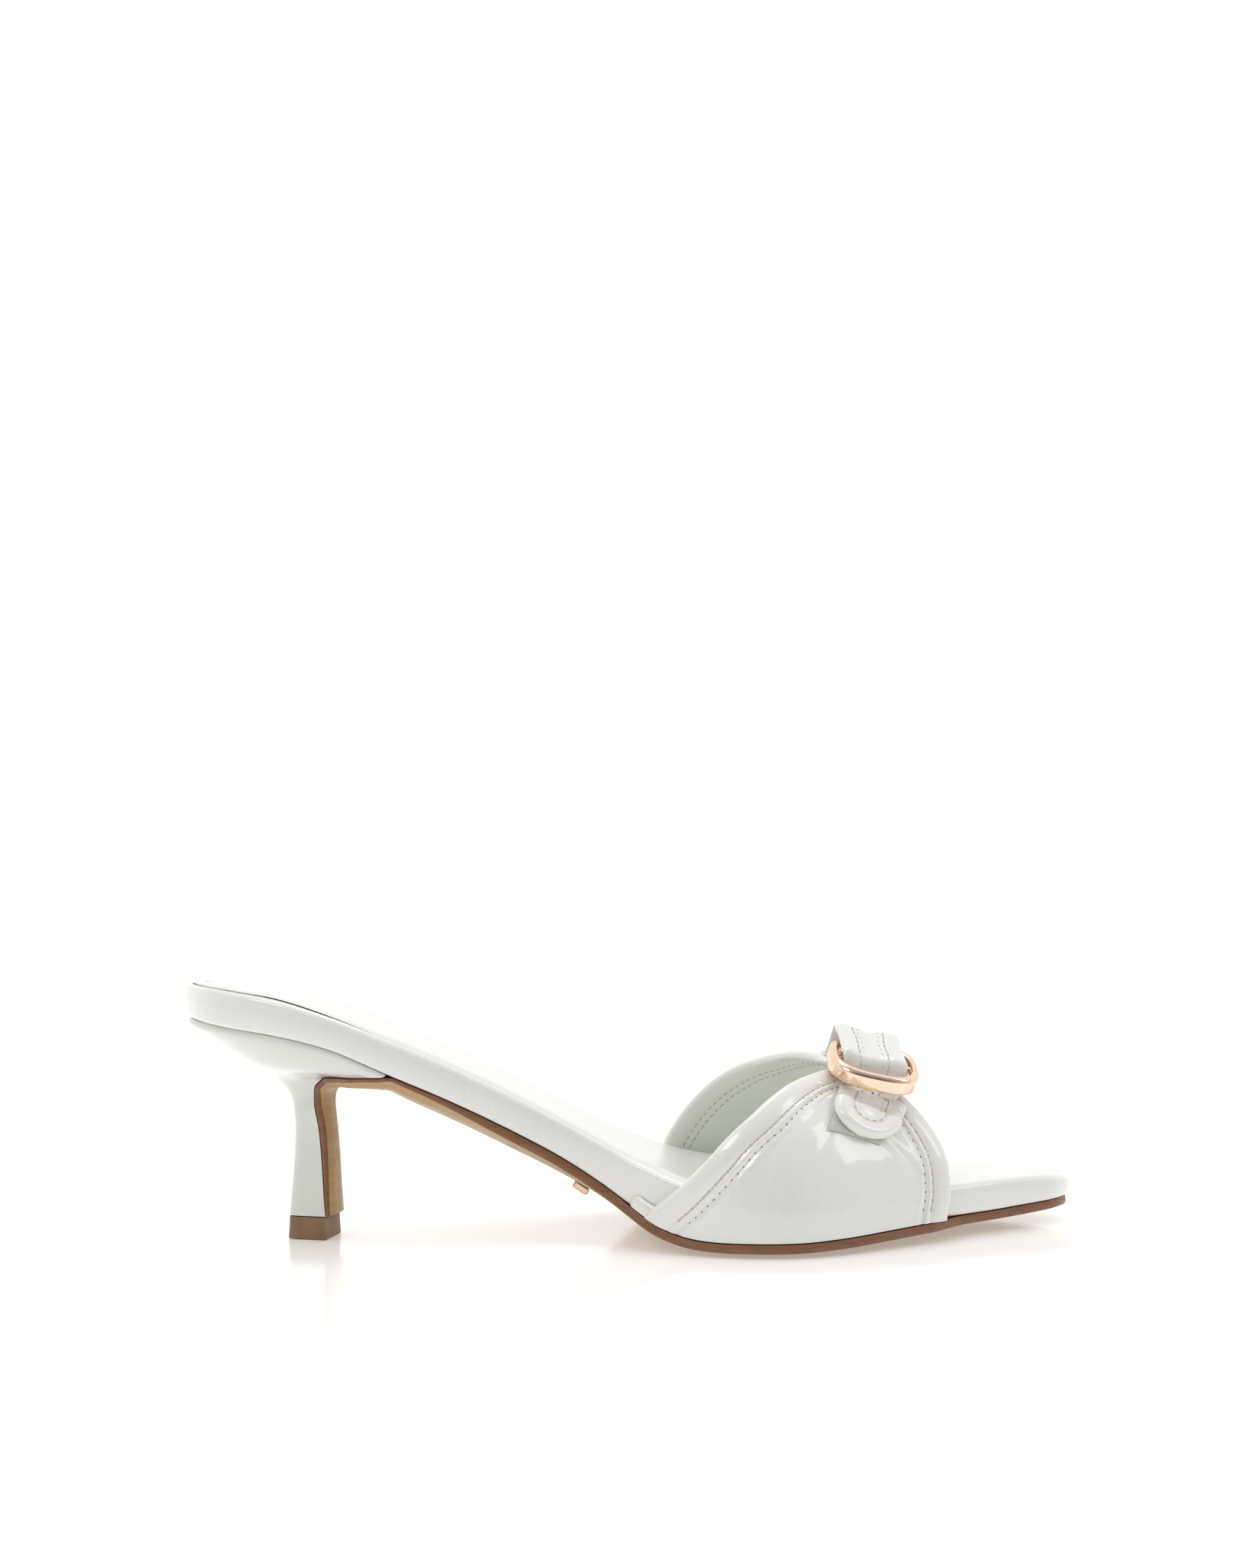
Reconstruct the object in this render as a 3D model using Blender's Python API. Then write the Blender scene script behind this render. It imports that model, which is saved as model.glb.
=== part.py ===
"""White leather mule on a slender heel, for the right foot, at real size.

Metres, +Z up. The toe points along +X and the outer side of the foot is -Y.
Lengths along the shoe are counted from the back of the heel while it is built.
At the end everything is moved so that the origin is the middle of the ground.
"""
import functools
import math

import bmesh
import bpy
import numpy as np

# Overall sizes of the shoe
LENGTH = 0.228            # back of the heel to the tip of the toe, along the floor
BALL_WIDTH = 0.0796       # footbed across the ball of the foot
WAIST_WIDTH = 0.0462      # footbed across the arch
SEAT_WIDTH = 0.0504       # footbed across the heel seat
TOE_WIDTH = 0.0352        # footbed across the toe, a short way back from its tip
SEAT_HEIGHT = 0.0577      # underside of the footbed at the heel, over the floor
TOE_SPRING = 0.0036       # how far the tip of the toe is lifted

# Layers under the foot
GAP = 0.0003              # clearance between two pieces that meet
BED_THICK = 0.0084        # wrapped footbed board at the heel seat
BED_ROUND = 0.0016        # rounding of the footbed's upper edge
BED_CROWN = 0.0008        # padding of the footbed along its middle
BED_TUCK = 0.0008         # footbed's lower edge, in from its plan
BED_SWELL = 0.0002        # fullness of its side wall
SOLE_THICK = 0.0021       # outsole at its edge
SOLE_CROWN = 0.0036       # rounding of the outsole's underside at the waist
SOLE_FLAT = 0.32          # share of its half width that is flat underneath
EDGE_LIFT = 0.0010        # outsole's edge over the floor under the ball
SOLE_INSET = 0.0010       # outsole stays inside the footbed at toe and waist
SOLE_SWELL = 0.0120       # length over which it comes out to carry the upper
SOLE_JOIN = 0.0015        # last of the flat waist before the heel block begins
SOLE_END = 0.0016         # from the tip of the toe back to the end of the outsole
SOCK_THICK = 0.0005       # glued cover on the footbed
SOCK_INSET = 0.0018       # cover's edge from the footbed's edge
SOCK_LENGTH = 0.172       # cover's end, under the upper

# Heel
SEAT_LENGTH = 0.0545      # where the heel block's front runs out under the waist
TIP_SETBACK = 0.0271      # heel tip from the back of the shoe
TIP_LENGTH = 0.0108
TIP_WIDTH = 0.0104        # across its front; it tapers to the back
TIP_HEIGHT = 0.0056
TIP_TAPER = 0.68          # width at the back of the tip over that at its front
HEEL_TWIST = -12.0        # degrees, the breast turns a little to the outer side
HEEL_SHIFT = 0.0006       # heel tip's centre, towards the inner side
LIP_ROUND = 0.0006        # rounding of the heel block's rim under the footbed

# Upper
WALL = 0.0016             # leather and lining
UPPER_EASE = 0.0005       # extra room beside the footbed
VAMP_HEIGHT = 0.0360      # top of the upper over its base, under the buckle
VAMP_TOP = 0.173          # middle of the upper's narrow top, from the heel's back
VAMP_NARROW = 0.0140      # its width there
VAMP_BACK = 0.1165        # back end of its base on the outer side
VAMP_FRONT = 0.1900       # front end of its base on the outer side
VAMP_SLOPE = 0.33         # fall of the instep towards the toe
VAMP_FULL = 2.3           # roundness of the cross-section; 2 is an ellipse
BIND_WIDTH = 0.0072       # folded and stitched border along both edges
BIND_RISE = 0.0008        # its height over the leather beside it
BORDER_MOST = 0.43        # most that one border may take of the upper's own length

# Strap, buckle, patch and plate
STRAP_WIDTH = 0.0160
STRAP_THICK = 0.0024
STRAP_PRESS = 0.50        # share of its thickness that is left under the buckle
STRAP_DISH = 0.0007       # hollow between the strap's two padded edges
STRAP_TAIL = 0.0112       # tab beyond the buckle's near side
STRAP_HEAD = 0.0150       # strap beyond the buckle's far side
STRAP_LEAN = 0.42         # tab's drift towards the heel, over its own length
PRESS_REACH = 0.0014      # strap stays pressed this far beyond the buckle's sides
PRESS_EASE = 0.0020       # length over which it then regains its thickness
PRESS_INNER = 0.4         # the same two lengths, as a rate on the buckle's inner side
PATCH_STEP = 0.0030       # length over which the tab climbs onto the patch
HEAD_TAPER = 0.0080       # length over which the strap's inner end thins out
HEAD_THIN = 0.45          # share of its thickness that is left at that end
HUMP_SHIFT = 0.0009       # drift of the raised strap, square to the buckle, not the upper
RING_LONG = 0.0228        # buckle along the shoe
RING_WIDE = 0.0200        # buckle across the shoe
RING_RIM = 0.0026
RING_TALL = 0.0042
RING_SHIFT = 0.0176       # buckle's centre, from the top line to the outer side
RING_AHEAD = 0.0005       # buckle's centre ahead of the middle of the upper's top
RING_FALL = 13.0          # degrees, its toe end lower than its heel end
RING_LEAN = 24.0          # degrees, its outer side lower than its inner side
RING_FULL = 2.7           # fullness of its oval; 2 is an ellipse
RING_EASE = 0.0004        # extra room under the flat ring for the curved upper
BAR_RADIUS = 0.0008
BAR_RISE = 0.0008         # bar's centre over the middle of the ring
PATCH_SIDE = 0.0131
PATCH_DEPTH = 0.0080      # across the shoe, mostly hidden under the tab
PATCH_THICK = 0.0006
PATCH_OVER = 0.0001       # its lower edge over the end of the tab
PATCH_TURN = -8.0         # degrees, against the shoe's length
PLATE_SIZE = (0.0044, 0.0130, 0.0018)
PLATE_PLACE = 0.1050      # from the back of the heel

# How finely curved pieces are divided
SIDE_STEPS = 42           # along one side of the footbed
ARCH_STEPS = 44           # across the upper
ROUND_STEPS = 24          # round the heel
RING_STEPS = 44           # round the buckle
STRAP_STEPS = 26          # along the strap
PANEL_STEPS = 6           # along the upper between its borders

# Plan of the footbed. Each row: place along the length, the width that it
# follows, and as shares of that width, where its middle lies and half its width.
PLAN = (
    (0.000, SEAT_WIDTH, 0.020, 0.000),
    (0.013, SEAT_WIDTH, 0.018, 0.212),
    (0.035, SEAT_WIDTH, 0.015, 0.345),
    (0.070, SEAT_WIDTH, 0.008, 0.432),
    (0.123, SEAT_WIDTH, -0.008, 0.482),
    (0.184, SEAT_WIDTH, -0.020, 0.500),
    (0.245, SEAT_WIDTH, -0.016, 0.488),
    (0.307, WAIST_WIDTH, -0.006, 0.507),
    (0.373, WAIST_WIDTH, 0.013, 0.500),
    (0.439, WAIST_WIDTH, 0.026, 0.535),
    (0.491, BALL_WIDTH, 0.012, 0.354),
    (0.535, BALL_WIDTH, 0.000, 0.410),
    (0.579, BALL_WIDTH, -0.020, 0.462),
    (0.623, BALL_WIDTH, -0.033, 0.492),
    (0.662, BALL_WIDTH, -0.038, 0.500),
    (0.711, BALL_WIDTH, -0.030, 0.480),
    (0.763, BALL_WIDTH, -0.023, 0.422),
    (0.811, BALL_WIDTH, -0.020, 0.359),
    (0.855, BALL_WIDTH, -0.018, 0.304),
    (0.899, TOE_WIDTH, -0.035, 0.572),
    (0.925, TOE_WIDTH, -0.026, 0.500),
    (0.947, TOE_WIDTH, -0.028, 0.437),
    (0.969, TOE_WIDTH, -0.050, 0.345),
    (0.987, TOE_WIDTH, -0.068, 0.222),
    (1.000, TOE_WIDTH, -0.085, 0.000),
)

# Side view of the footbed. Each row: place along the length, height of its
# underside as a share of the heel's rise and of the toe's, and its thickness
# as a share of BED_THICK.
PROFILE = (
    (0.000, 1.000, 0.00, 0.98),
    (0.060, 0.951, 0.00, 1.07),
    (0.120, 0.907, 0.00, 1.05),
    (0.178, 0.842, 0.00, 0.95),
    (0.236, 0.731, 0.00, 1.00),
    (0.297, 0.614, 0.00, 1.03),
    (0.372, 0.455, 0.00, 1.03),
    (0.439, 0.297, 0.00, 1.07),
    (0.474, 0.200, 0.00, 1.18),
    (0.500, 0.120, 0.00, 1.33),
    (0.522, 0.060, 0.00, 1.47),
    (0.546, 0.021, 0.00, 1.46),
    (0.575, 0.003, 0.00, 1.32),
    (0.614, 0.000, 0.00, 1.13),
    (0.667, 0.000, 0.02, 1.00),
    (0.728, 0.000, 0.16, 0.93),
    (0.785, 0.000, 0.35, 0.90),
    (0.833, 0.000, 0.50, 0.88),
    (0.890, 0.000, 0.62, 0.87),
    (0.930, 0.000, 0.73, 0.82),
    (0.965, 0.000, 0.86, 0.72),
    (0.985, 0.000, 0.94, 0.61),
    (1.000, 0.000, 1.00, 0.48),
)

# Padding of the footbed's top along the length, as a share of BED_CROWN; the
# heel seat is a little hollow
PADDING = ((0.00, -0.60), (0.25, -0.50), (0.50, 0.00), (0.76, 0.00), (0.86, 1.00), (1.00, 1.00))

# Outsole's rounding underneath, as a share of SOLE_CROWN, along the length
CROWN = (
    (0.24, 0.80), (0.28, 0.95), (0.37, 0.95), (0.44, 0.80), (0.50, 0.45), (0.56, 0.28), (1.00, 0.28),
)

# Heel block from its seat down to the tip. Each row: height of its back and of
# its front, as shares of what lies between the tip and the seat just there; back
# as a share of TIP_SETBACK; front as a share of the tip's length, and of what the
# seat reaches beyond the tip; half width as shares of the seat's and the tip's;
# corner fullness; share of the twist; share of the seat's own bend; thickness of
# the sole on its front and rounding of that sole, as shares.
HEEL = (
    (1.000, 1.000, 0.05, 1.00, 0.985, 0.975, 0.00, 2.7, 0.0, 1.0, 1.00, 0.80),
    (0.977, 0.985, 0.04, 1.00, 0.960, 0.980, 0.00, 2.7, 0.0, 1.0, 1.00, 0.66),
    (0.911, 0.935, 0.29, 1.00, 0.740, 0.935, 0.00, 2.7, 0.0, 0.8, 1.00, 0.48),
    (0.826, 0.873, 0.59, 1.00, 0.440, 0.775, 0.00, 2.8, 0.1, 0.4, 0.98, 0.34),
    (0.773, 0.832, 0.79, 1.00, 0.180, 0.520, 0.05, 3.0, 0.3, 0.1, 0.95, 0.28),
    (0.722, 0.795, 0.92, 0.95, 0.000, 0.310, 0.24, 3.4, 0.6, 0.0, 0.92, 0.28),
    (0.657, 0.731, 1.00, 0.74, 0.000, 0.080, 0.92, 4.0, 0.8, 0.0, 0.88, 0.36),
    (0.578, 0.634, 1.03, 0.70, 0.000, 0.000, 0.98, 4.5, 1.0, 0.0, 0.84, 0.28),
    (0.454, 0.482, 1.04, 0.79, 0.000, 0.000, 0.85, 5.0, 1.0, 0.0, 0.80, 0.24),
    (0.300, 0.317, 1.03, 0.86, 0.000, 0.000, 0.88, 5.5, 1.0, 0.0, 0.70, 0.22),
    (0.148, 0.156, 1.01, 0.91, 0.000, 0.000, 0.94, 6.0, 1.0, 0.0, 0.58, 0.20),
    (0.000, 0.000, 0.99, 0.97, 0.000, 0.000, 1.00, 6.5, 1.0, 0.0, 0.46, 0.16),
)

# Edges of the upper. Each row: place across it, from its outer base (-1) over
# the top (0) to its inner base (1), and how far its back and front edges have
# gone from the narrow top (0) to the base (1).
EDGES = (
    (-1.00, 1.000, 1.00),
    (-0.90, 0.845, 1.13),
    (-0.80, 0.710, 1.15),
    (-0.70, 0.592, 1.09),
    (-0.60, 0.472, 0.93),
    (-0.50, 0.366, 0.71),
    (-0.40, 0.256, 0.44),
    (-0.30, 0.128, 0.18),
    (-0.22, 0.030, 0.06),
    (-0.10, 0.000, 0.00),
    (0.00, 0.015, 0.00),
    (0.17, 0.150, 0.10),
    (0.29, 0.240, 0.28),
    (0.48, 0.443, 0.68),
    (0.68, 0.655, 0.96),
    (0.83, 0.796, 1.00),
    (1.00, 0.920, 0.98),
)

# Border of the upper from its edge inwards: share of BIND_WIDTH, share of BIND_RISE
BORDER = ((0.05, 0.35), (0.17, 0.85), (0.42, 1.00), (0.72, 0.85), (0.92, 0.40), (1.00, -0.30), (1.10, 0.00))

# Strap's height over the upper, from the buckle's centre: share of the buckle's
# half width, + to its inner side, and share of the way up onto the bar. The strap
# dives under the outer side of the buckle and passes over its inner side.
HUMP = (
    (-0.58, 0.00), (-0.50, 0.04), (-0.42, 0.22), (-0.32, 0.56), (-0.22, 0.86), (-0.12, 0.99), (0.00, 1.00),
    (0.90, 1.00), (1.00, 0.94), (1.12, 0.70), (1.26, 0.38), (1.42, 0.13), (1.60, 0.00),
)


def smooth(xs, ys, x):
    """A smooth curve through the points (xs, ys) that never overshoots them."""
    xs, ys, x = (np.asarray(value, float) for value in (xs, ys, x))
    step = np.diff(xs)
    rise = np.diff(ys) / step
    slope = np.concatenate(([rise[0]], np.zeros(len(rise) - 1), [rise[-1]]))
    if len(rise) > 1:
        inner = (rise[:-1] * step[1:] + rise[1:] * step[:-1]) / (step[1:] + step[:-1])
        limit = 3.0 * np.minimum(np.abs(rise[:-1]), np.abs(rise[1:]))
        same = rise[:-1] * rise[1:] > 0.0
        slope[1:-1] = np.where(same, np.clip(inner, -limit, limit), 0.0)
    k = np.clip(np.searchsorted(xs, x, side="right") - 1, 0, len(step) - 1)
    t = np.clip((x - xs[k]) / step[k], 0.0, 1.0)
    return (ys[k] * (1 + 2 * t) * (1 - t) ** 2 + ys[k + 1] * t * t * (3 - 2 * t)
            + step[k] * (slope[k] * t * (1 - t) ** 2 - slope[k + 1] * t * t * (1 - t)))


def ease(t):
    """0 to 1 with soft ends."""
    t = np.clip(t, 0.0, 1.0)
    return t * t * (3 - 2 * t)


def column(table, index):
    return np.array([row[index] for row in table], float)


def turn_of(x):
    """Angle that spreads the places along the length evenly round the plan."""
    return np.arccos(np.clip(1 - 2 * np.asarray(x, float) / LENGTH, -1, 1))


def bed_centre(x):
    return smooth(turn_of(column(PLAN, 0) * LENGTH), column(PLAN, 1) * column(PLAN, 2), turn_of(x))


def bed_half(x):
    return smooth(turn_of(column(PLAN, 0) * LENGTH), column(PLAN, 1) * column(PLAN, 3), turn_of(x))


def bed_low(x):
    """Underside of the footbed, which is flat from side to side."""
    floor = EDGE_LIFT + SOLE_THICK + GAP
    place = np.asarray(x, float) / LENGTH
    rise = smooth(column(PROFILE, 0), column(PROFILE, 1), place) * (SEAT_HEIGHT - floor)
    spring = smooth(column(PROFILE, 0), column(PROFILE, 2), place) * TOE_SPRING
    return floor + rise + spring


def bed_top(x, across=0.0):
    """Top of the footbed; across is -1 to 1 from its outer to its inner edge."""
    place = np.asarray(x, float) / LENGTH
    thick = smooth(column(PROFILE, 0), column(PROFILE, 3), place) * BED_THICK
    crown = smooth(column(PADDING, 0), column(PADDING, 1), place) * BED_CROWN
    return bed_low(x) + thick + crown * (1 - np.asarray(across) ** 2)


def plan_ring(inset, stop=LENGTH):
    """Points round the footbed's plan, moved inwards by inset.

    They run from the heel along the outer side, then from the toe back along the
    inner side. With a stop short of the toe the ring ends in a straight line."""
    turns = np.linspace(0.0, math.pi, SIDE_STEPS + 1)
    x = LENGTH * (1 - np.cos(turns[turns <= turn_of(stop)])) / 2
    outer = np.column_stack((x, bed_centre(x) - bed_half(x)))
    inner = np.column_stack((x, bed_centre(x) + bed_half(x)))[::-1]
    ring = np.vstack((outer, inner[0 if stop < LENGTH else 1:-1]))
    ahead = np.roll(ring, -1, axis=0) - np.roll(ring, 1, axis=0)
    ahead /= np.linalg.norm(ahead, axis=1)[:, None]
    return ring + inset * np.column_stack((-ahead[:, 1], ahead[:, 0]))


def with_height(ring, height):
    return np.column_stack((ring, height))


class Shape:
    """Collects vertices and faces, and makes one closed object of them."""

    def __init__(self):
        self.mesh = bmesh.new()

    def row(self, points):
        return [self.mesh.verts.new([float(value) for value in point]) for point in points]

    def face(self, *verts):
        distinct = list(dict.fromkeys(verts))
        if len(distinct) > 2:
            self.mesh.faces.new(distinct)

    def bridge(self, first, second, closed=True):
        count = len(first)
        for k in range(count if closed else count - 1):
            n = (k + 1) % count
            self.face(first[k], first[n], second[n], second[k])

    def loft(self, rings, closed=True):
        rows = [self.row(ring) for ring in rings]
        for first, second in zip(rows, rows[1:]):
            self.bridge(first, second, closed)
        return rows

    def cap(self, ring, pairs, height=None, columns=()):
        """Closes a ring by rows that join its points pair by pair.

        Rows inside the ring get more points, at the shares in columns."""
        rows = []
        for number, (one, two) in enumerate(pairs):
            row = [ring[one]]
            if one != two:
                a, b = ring[one].co, ring[two].co
                for t in columns if 0 < number < len(pairs) - 1 else ():
                    point = a.lerp(b, t)
                    if height:
                        point.z = height(point.x, 2 * t - 1)
                    row.append(self.mesh.verts.new(point))
                row.append(ring[two])
            rows.append(row)
        for first, second in zip(rows, rows[1:]):
            if len(first) != len(second):
                self.fan(first, second)
                continue
            for k in range(len(first) - 1):
                self.face(first[k], first[k + 1], second[k + 1], second[k])

    def fan(self, first, second):
        """Triangles from a short row to a long one beside it."""
        short, long = sorted((first, second), key=len)
        for k in range(len(long) - 1):
            self.face(short[0 if k < len(long) // 2 else -1], long[k], long[k + 1])
        if len(short) == 2:
            self.face(short[0], short[1], long[len(long) // 2])

    def finish(self, name, colour, roughness, metallic=0.0, coat=0.0, angle=40.0):
        bmesh.ops.recalc_face_normals(self.mesh, faces=self.mesh.faces)
        if self.mesh.calc_volume(signed=True) < 0.0:
            bmesh.ops.reverse_faces(self.mesh, faces=self.mesh.faces)
        data = bpy.data.meshes.new(name)
        self.mesh.to_mesh(data)
        self.mesh.free()
        data.shade_smooth()
        data.set_sharp_from_angle(angle=math.radians(angle))
        thing = bpy.data.objects.new(name, data)
        bpy.context.scene.collection.objects.link(thing)
        thing.data.materials.append(surface(name, colour, roughness, metallic, coat))
        return thing


def surface(name, colour, roughness, metallic, coat):
    """A plain finish with the colour, gloss and metal of one piece."""
    material = bpy.data.materials.new(name)
    material.use_nodes = True
    shader = material.node_tree.nodes["Principled BSDF"]
    shader.inputs["Base Color"].default_value = (*colour, 1.0)
    shader.inputs["Roughness"].default_value = roughness
    shader.inputs["Metallic"].default_value = metallic
    shader.inputs["Coat Weight"].default_value = coat
    material.diffuse_color = (*colour, 1.0)
    return material


WHITE = (0.86, 0.87, 0.85)
LINING = (0.84, 0.86, 0.81)
SOLE_TAN = (0.46, 0.30, 0.16)
RUBBER_BROWN = (0.20, 0.11, 0.06)
ROSE_GOLD = (0.90, 0.66, 0.48)
FELT = (0.80, 0.80, 0.74)


def ring_pairs(count):
    """Opposite points of a ring that starts at one end of the plan."""
    half = count // 2
    return [(k, (count - k) % count) for k in range(half + 1)]


def build_footbed():
    """Board wrapped in leather, with a rounded upper edge all round."""
    side = ((BED_TUCK, 0.0), (0.0, 0.10), (-BED_SWELL, 0.45))
    edge = ((0.0, 1.0), (0.3, 0.35), (1.0, 0.0))
    shape = Shape()
    rings = []
    for inset, share in side:
        ring = plan_ring(inset)
        x = np.clip(ring[:, 0], 0.0, LENGTH)
        low = bed_low(x)
        rings.append(with_height(ring, low + share * (bed_top(x, 1.0) - low)))
    for inward, down in edge:
        ring = plan_ring(BED_ROUND * inward)
        x = np.clip(ring[:, 0], 0.0, LENGTH)
        rings.append(with_height(ring, bed_top(x, 1.0) - BED_ROUND * down))
    rows = shape.loft(rings)
    pairs = ring_pairs(len(rows[0]))
    shape.cap(rows[0], pairs, columns=(0.33, 0.67))
    shape.cap(rows[-1], pairs, height=bed_top, columns=(0.08, 0.25, 0.5, 0.75, 0.92))
    return shape.finish("footbed", WHITE, 0.28, coat=0.6)


def build_sock():
    """Thin cover glued on the footbed from the heel to under the upper."""
    shape = Shape()
    ring = plan_ring(SOCK_INSET, SOCK_LENGTH)
    count = len(ring)
    x = np.clip(ring[:, 0], 0.0, LENGTH)
    base = bed_top(x, 1.0) + GAP
    rings = [with_height(ring, base), with_height(ring, base + SOCK_THICK)]
    rows = shape.loft(rings)
    pairs = ring_pairs(count)
    columns = (0.08, 0.25, 0.5, 0.75, 0.92)
    shape.cap(rows[0], pairs, lambda x, across: bed_top(x, across) + GAP, columns)
    shape.cap(rows[-1], pairs, lambda x, across: bed_top(x, across) + GAP + SOCK_THICK, columns)
    return shape.finish("sock", LINING, 0.38, coat=0.2)


def sole_half(x):
    """Half width of the outsole: inside the footbed, but out under the upper's wall."""
    beside = ease((x - VAMP_BACK) / SOLE_SWELL + 0.6) * ease((VAMP_FRONT - x) / SOLE_SWELL + 0.6)
    ahead = np.minimum(x + SOLE_INSET * ease(4 * x / LENGTH - 3), LENGTH)
    reach = GAP + UPPER_EASE + WALL + GAP
    return bed_half(ahead) - SOLE_INSET * (1 - beside) * 0.6 + reach * beside


def heel_turn(point, share):
    """Turns a point about the heel tip's middle by a share of the heel's twist."""
    angle = math.radians(HEEL_TWIST * share)
    middle = TIP_SETBACK + TIP_LENGTH / 2
    x, y = point[0] - middle, point[1] - HEEL_SHIFT
    return np.array((middle + x * math.cos(angle) - y * math.sin(angle),
                     HEEL_SHIFT + x * math.sin(angle) + y * math.cos(angle), point[2]))


def heel_ends(row):
    """Back and front of one row of the heel, as x and z on its middle line."""
    floor = TIP_HEIGHT + GAP
    back = TIP_SETBACK * row[2]
    front = TIP_SETBACK + TIP_LENGTH * row[3] + (SEAT_LENGTH - TIP_SETBACK - TIP_LENGTH) * row[4]
    heights = [floor + share * (float(bed_low(x)) - GAP - floor) for share, x in zip(row, (back, front))]
    return back, heights[0], front, heights[1]


def heel_halves(row):
    """Half widths of one row of the heel at its front and its back."""
    front = row[5] * SEAT_WIDTH / 2 + row[6] * TIP_WIDTH / 2
    back = row[5] * SEAT_WIDTH / 2 + row[6] * TIP_WIDTH / 2 * TIP_TAPER
    return front, back


def heel_ring(row, inset=0.0):
    """Outline of the heel at one row, from its front's outer corner round the back."""
    back_x, back_z, front_x, front_z = heel_ends(row)
    half_front, half_back = heel_halves(row)
    fullness, twist, bend = row[7:10]
    points = []
    for turn in np.linspace(-1.0, 1.0, 2 * ROUND_STEPS + 1):
        depth = abs(math.cos(math.pi * turn / 2)) ** (2 / fullness)
        side = math.copysign(abs(math.sin(math.pi * turn / 2)) ** (2 / fullness), turn)
        if abs(turn) == 1.0:
            depth = 0.0
        x = front_x + (back_x - front_x) * depth + inset * depth
        chord_x = min(max(x, back_x), front_x)
        half = half_front + (half_back - half_front) * depth - inset
        share = (chord_x - back_x) / (front_x - back_x)
        z = back_z + (front_z - back_z) * share
        bow = float(bed_low(chord_x))
        bow -= float(bed_low(back_x)) * (1 - share) + float(bed_low(front_x)) * share
        middle = bend * float(bed_centre(chord_x)) + (1 - bend) * HEEL_SHIFT
        points.append(heel_turn((x, middle + half * side, z + bow * bend), twist))
    return points


def heel_pairs(count):
    """Opposite points of a heel ring, from its front to its back."""
    return [(k, count - 1 - k) for k in range(count // 2)] + [(count // 2, count // 2)]


def build_heel():
    """Covered block under the seat, drawn in to a slender waist."""
    shape = Shape()
    seat = heel_ring(HEEL[0], inset=LIP_ROUND)
    rows = shape.loft([seat] + [heel_ring(row) for row in HEEL[1:]])
    pairs = heel_pairs(len(rows[0]))
    shape.cap(rows[0], pairs, lambda x, across: float(bed_low(x)) - GAP, (0.25, 0.5, 0.75))
    shape.cap(rows[-1], pairs)
    return shape.finish("heel", WHITE, 0.30, coat=0.5)


def build_heel_tip():
    """Hard rubber piece that the heel stands on, a little wider at the floor."""
    shape = Shape()
    top = heel_ring(HEEL[-1])
    rings = []
    for height, spread in ((TIP_HEIGHT, 0.0), (TIP_HEIGHT * 0.5, 0.0001), (0.0, 0.0003)):
        ring = np.array(top)
        middle = ring.mean(axis=0)
        out = ring - middle
        out[:, 2] = 0.0
        out /= np.linalg.norm(out, axis=1)[:, None]
        ring = ring + out * spread
        ring[:, 2] = height
        rings.append(ring)
    rows = shape.loft(rings)
    pairs = heel_pairs(len(rows[0]))
    shape.cap(rows[0], pairs)
    shape.cap(rows[-1], pairs)
    return shape.finish("heel_tip", RUBBER_BROWN, 0.5)


def sole_stations():
    """Middle, sideways direction, half width, thickness and rounding along the outsole."""
    stations = []
    last = float(turn_of(SEAT_LENGTH + SOLE_JOIN))
    for turn in np.linspace(float(turn_of(LENGTH - SOLE_END)), last, SIDE_STEPS - 6):
        x = LENGTH * (1 - math.cos(turn)) / 2
        crown = SOLE_CROWN * float(smooth(column(CROWN, 0), column(CROWN, 1), x / LENGTH))
        middle = (x, float(bed_centre(x)), float(bed_low(x)) - GAP)
        stations.append((middle, (0.0, 1.0, 0.0), float(sole_half(x)), SOLE_THICK, crown))
    for row in HEEL[1:]:
        x, z = heel_ends(row)[2:]
        side = row[9] * float(bed_centre(x)) + (1 - row[9]) * HEEL_SHIFT
        middle = heel_turn((x, side, z), row[8])
        across = heel_turn((x, side + 1.0, z), row[8]) - middle
        half = heel_halves(row)[0]
        stations.append((middle, across, half, SOLE_THICK * row[10], SOLE_CROWN * row[11]))
    return stations


def build_outsole():
    """One sheet from the toe over the ball and the waist, then down the heel's front."""
    stations = sole_stations()
    middles = np.array([station[0] for station in stations])
    along = np.gradient(middles, axis=0)
    spread = (-1.0, -0.86, -0.62, -SOLE_FLAT, SOLE_FLAT, 0.62, 0.86, 1.0)
    sections = []
    for (middle, across, half, thick, crown), way in zip(stations, along):
        across = np.array(across)
        inward = np.cross(across, way)
        inward /= np.linalg.norm(inward)
        middle = np.array(middle) - inward * (GAP if middle[0] < SEAT_LENGTH else 0.0)
        upper = [middle + across * half * t for t in spread]
        rounding = [min((1 - t * t) / (1 - SOLE_FLAT ** 2), 1.0) for t in spread]
        lower = [middle + across * half * t - inward * (thick + crown * share)
                 for t, share in zip(spread[::-1], rounding[::-1])]
        sections.append(upper + lower)
    shape = Shape()
    rows = shape.loft(sections)
    count = len(sections[0])
    pairs = [(k, count - 1 - k) for k in range(count // 2)]
    shape.cap(rows[0], pairs)
    shape.cap(rows[-1], pairs)
    return shape.finish("outsole", SOLE_TAN, 0.45, coat=0.2)


def arch(x, v):
    """Outer face of the upper's leather at a place along the shoe and across it."""
    x, v = np.broadcast_arrays(np.asarray(x, float), np.asarray(v, float))
    half = bed_half(x) + GAP + UPPER_EASE + WALL
    height = VAMP_HEIGHT + VAMP_SLOPE * (VAMP_TOP - x)
    angle = (1 - np.abs(v)) * math.pi / 2
    y = bed_centre(x) + np.sign(v) * half * np.cos(angle) ** (2 / VAMP_FULL)
    z = bed_low(x) + height * np.sin(angle) ** (2 / VAMP_FULL)
    return np.stack((x, y, z), axis=-1)


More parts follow.
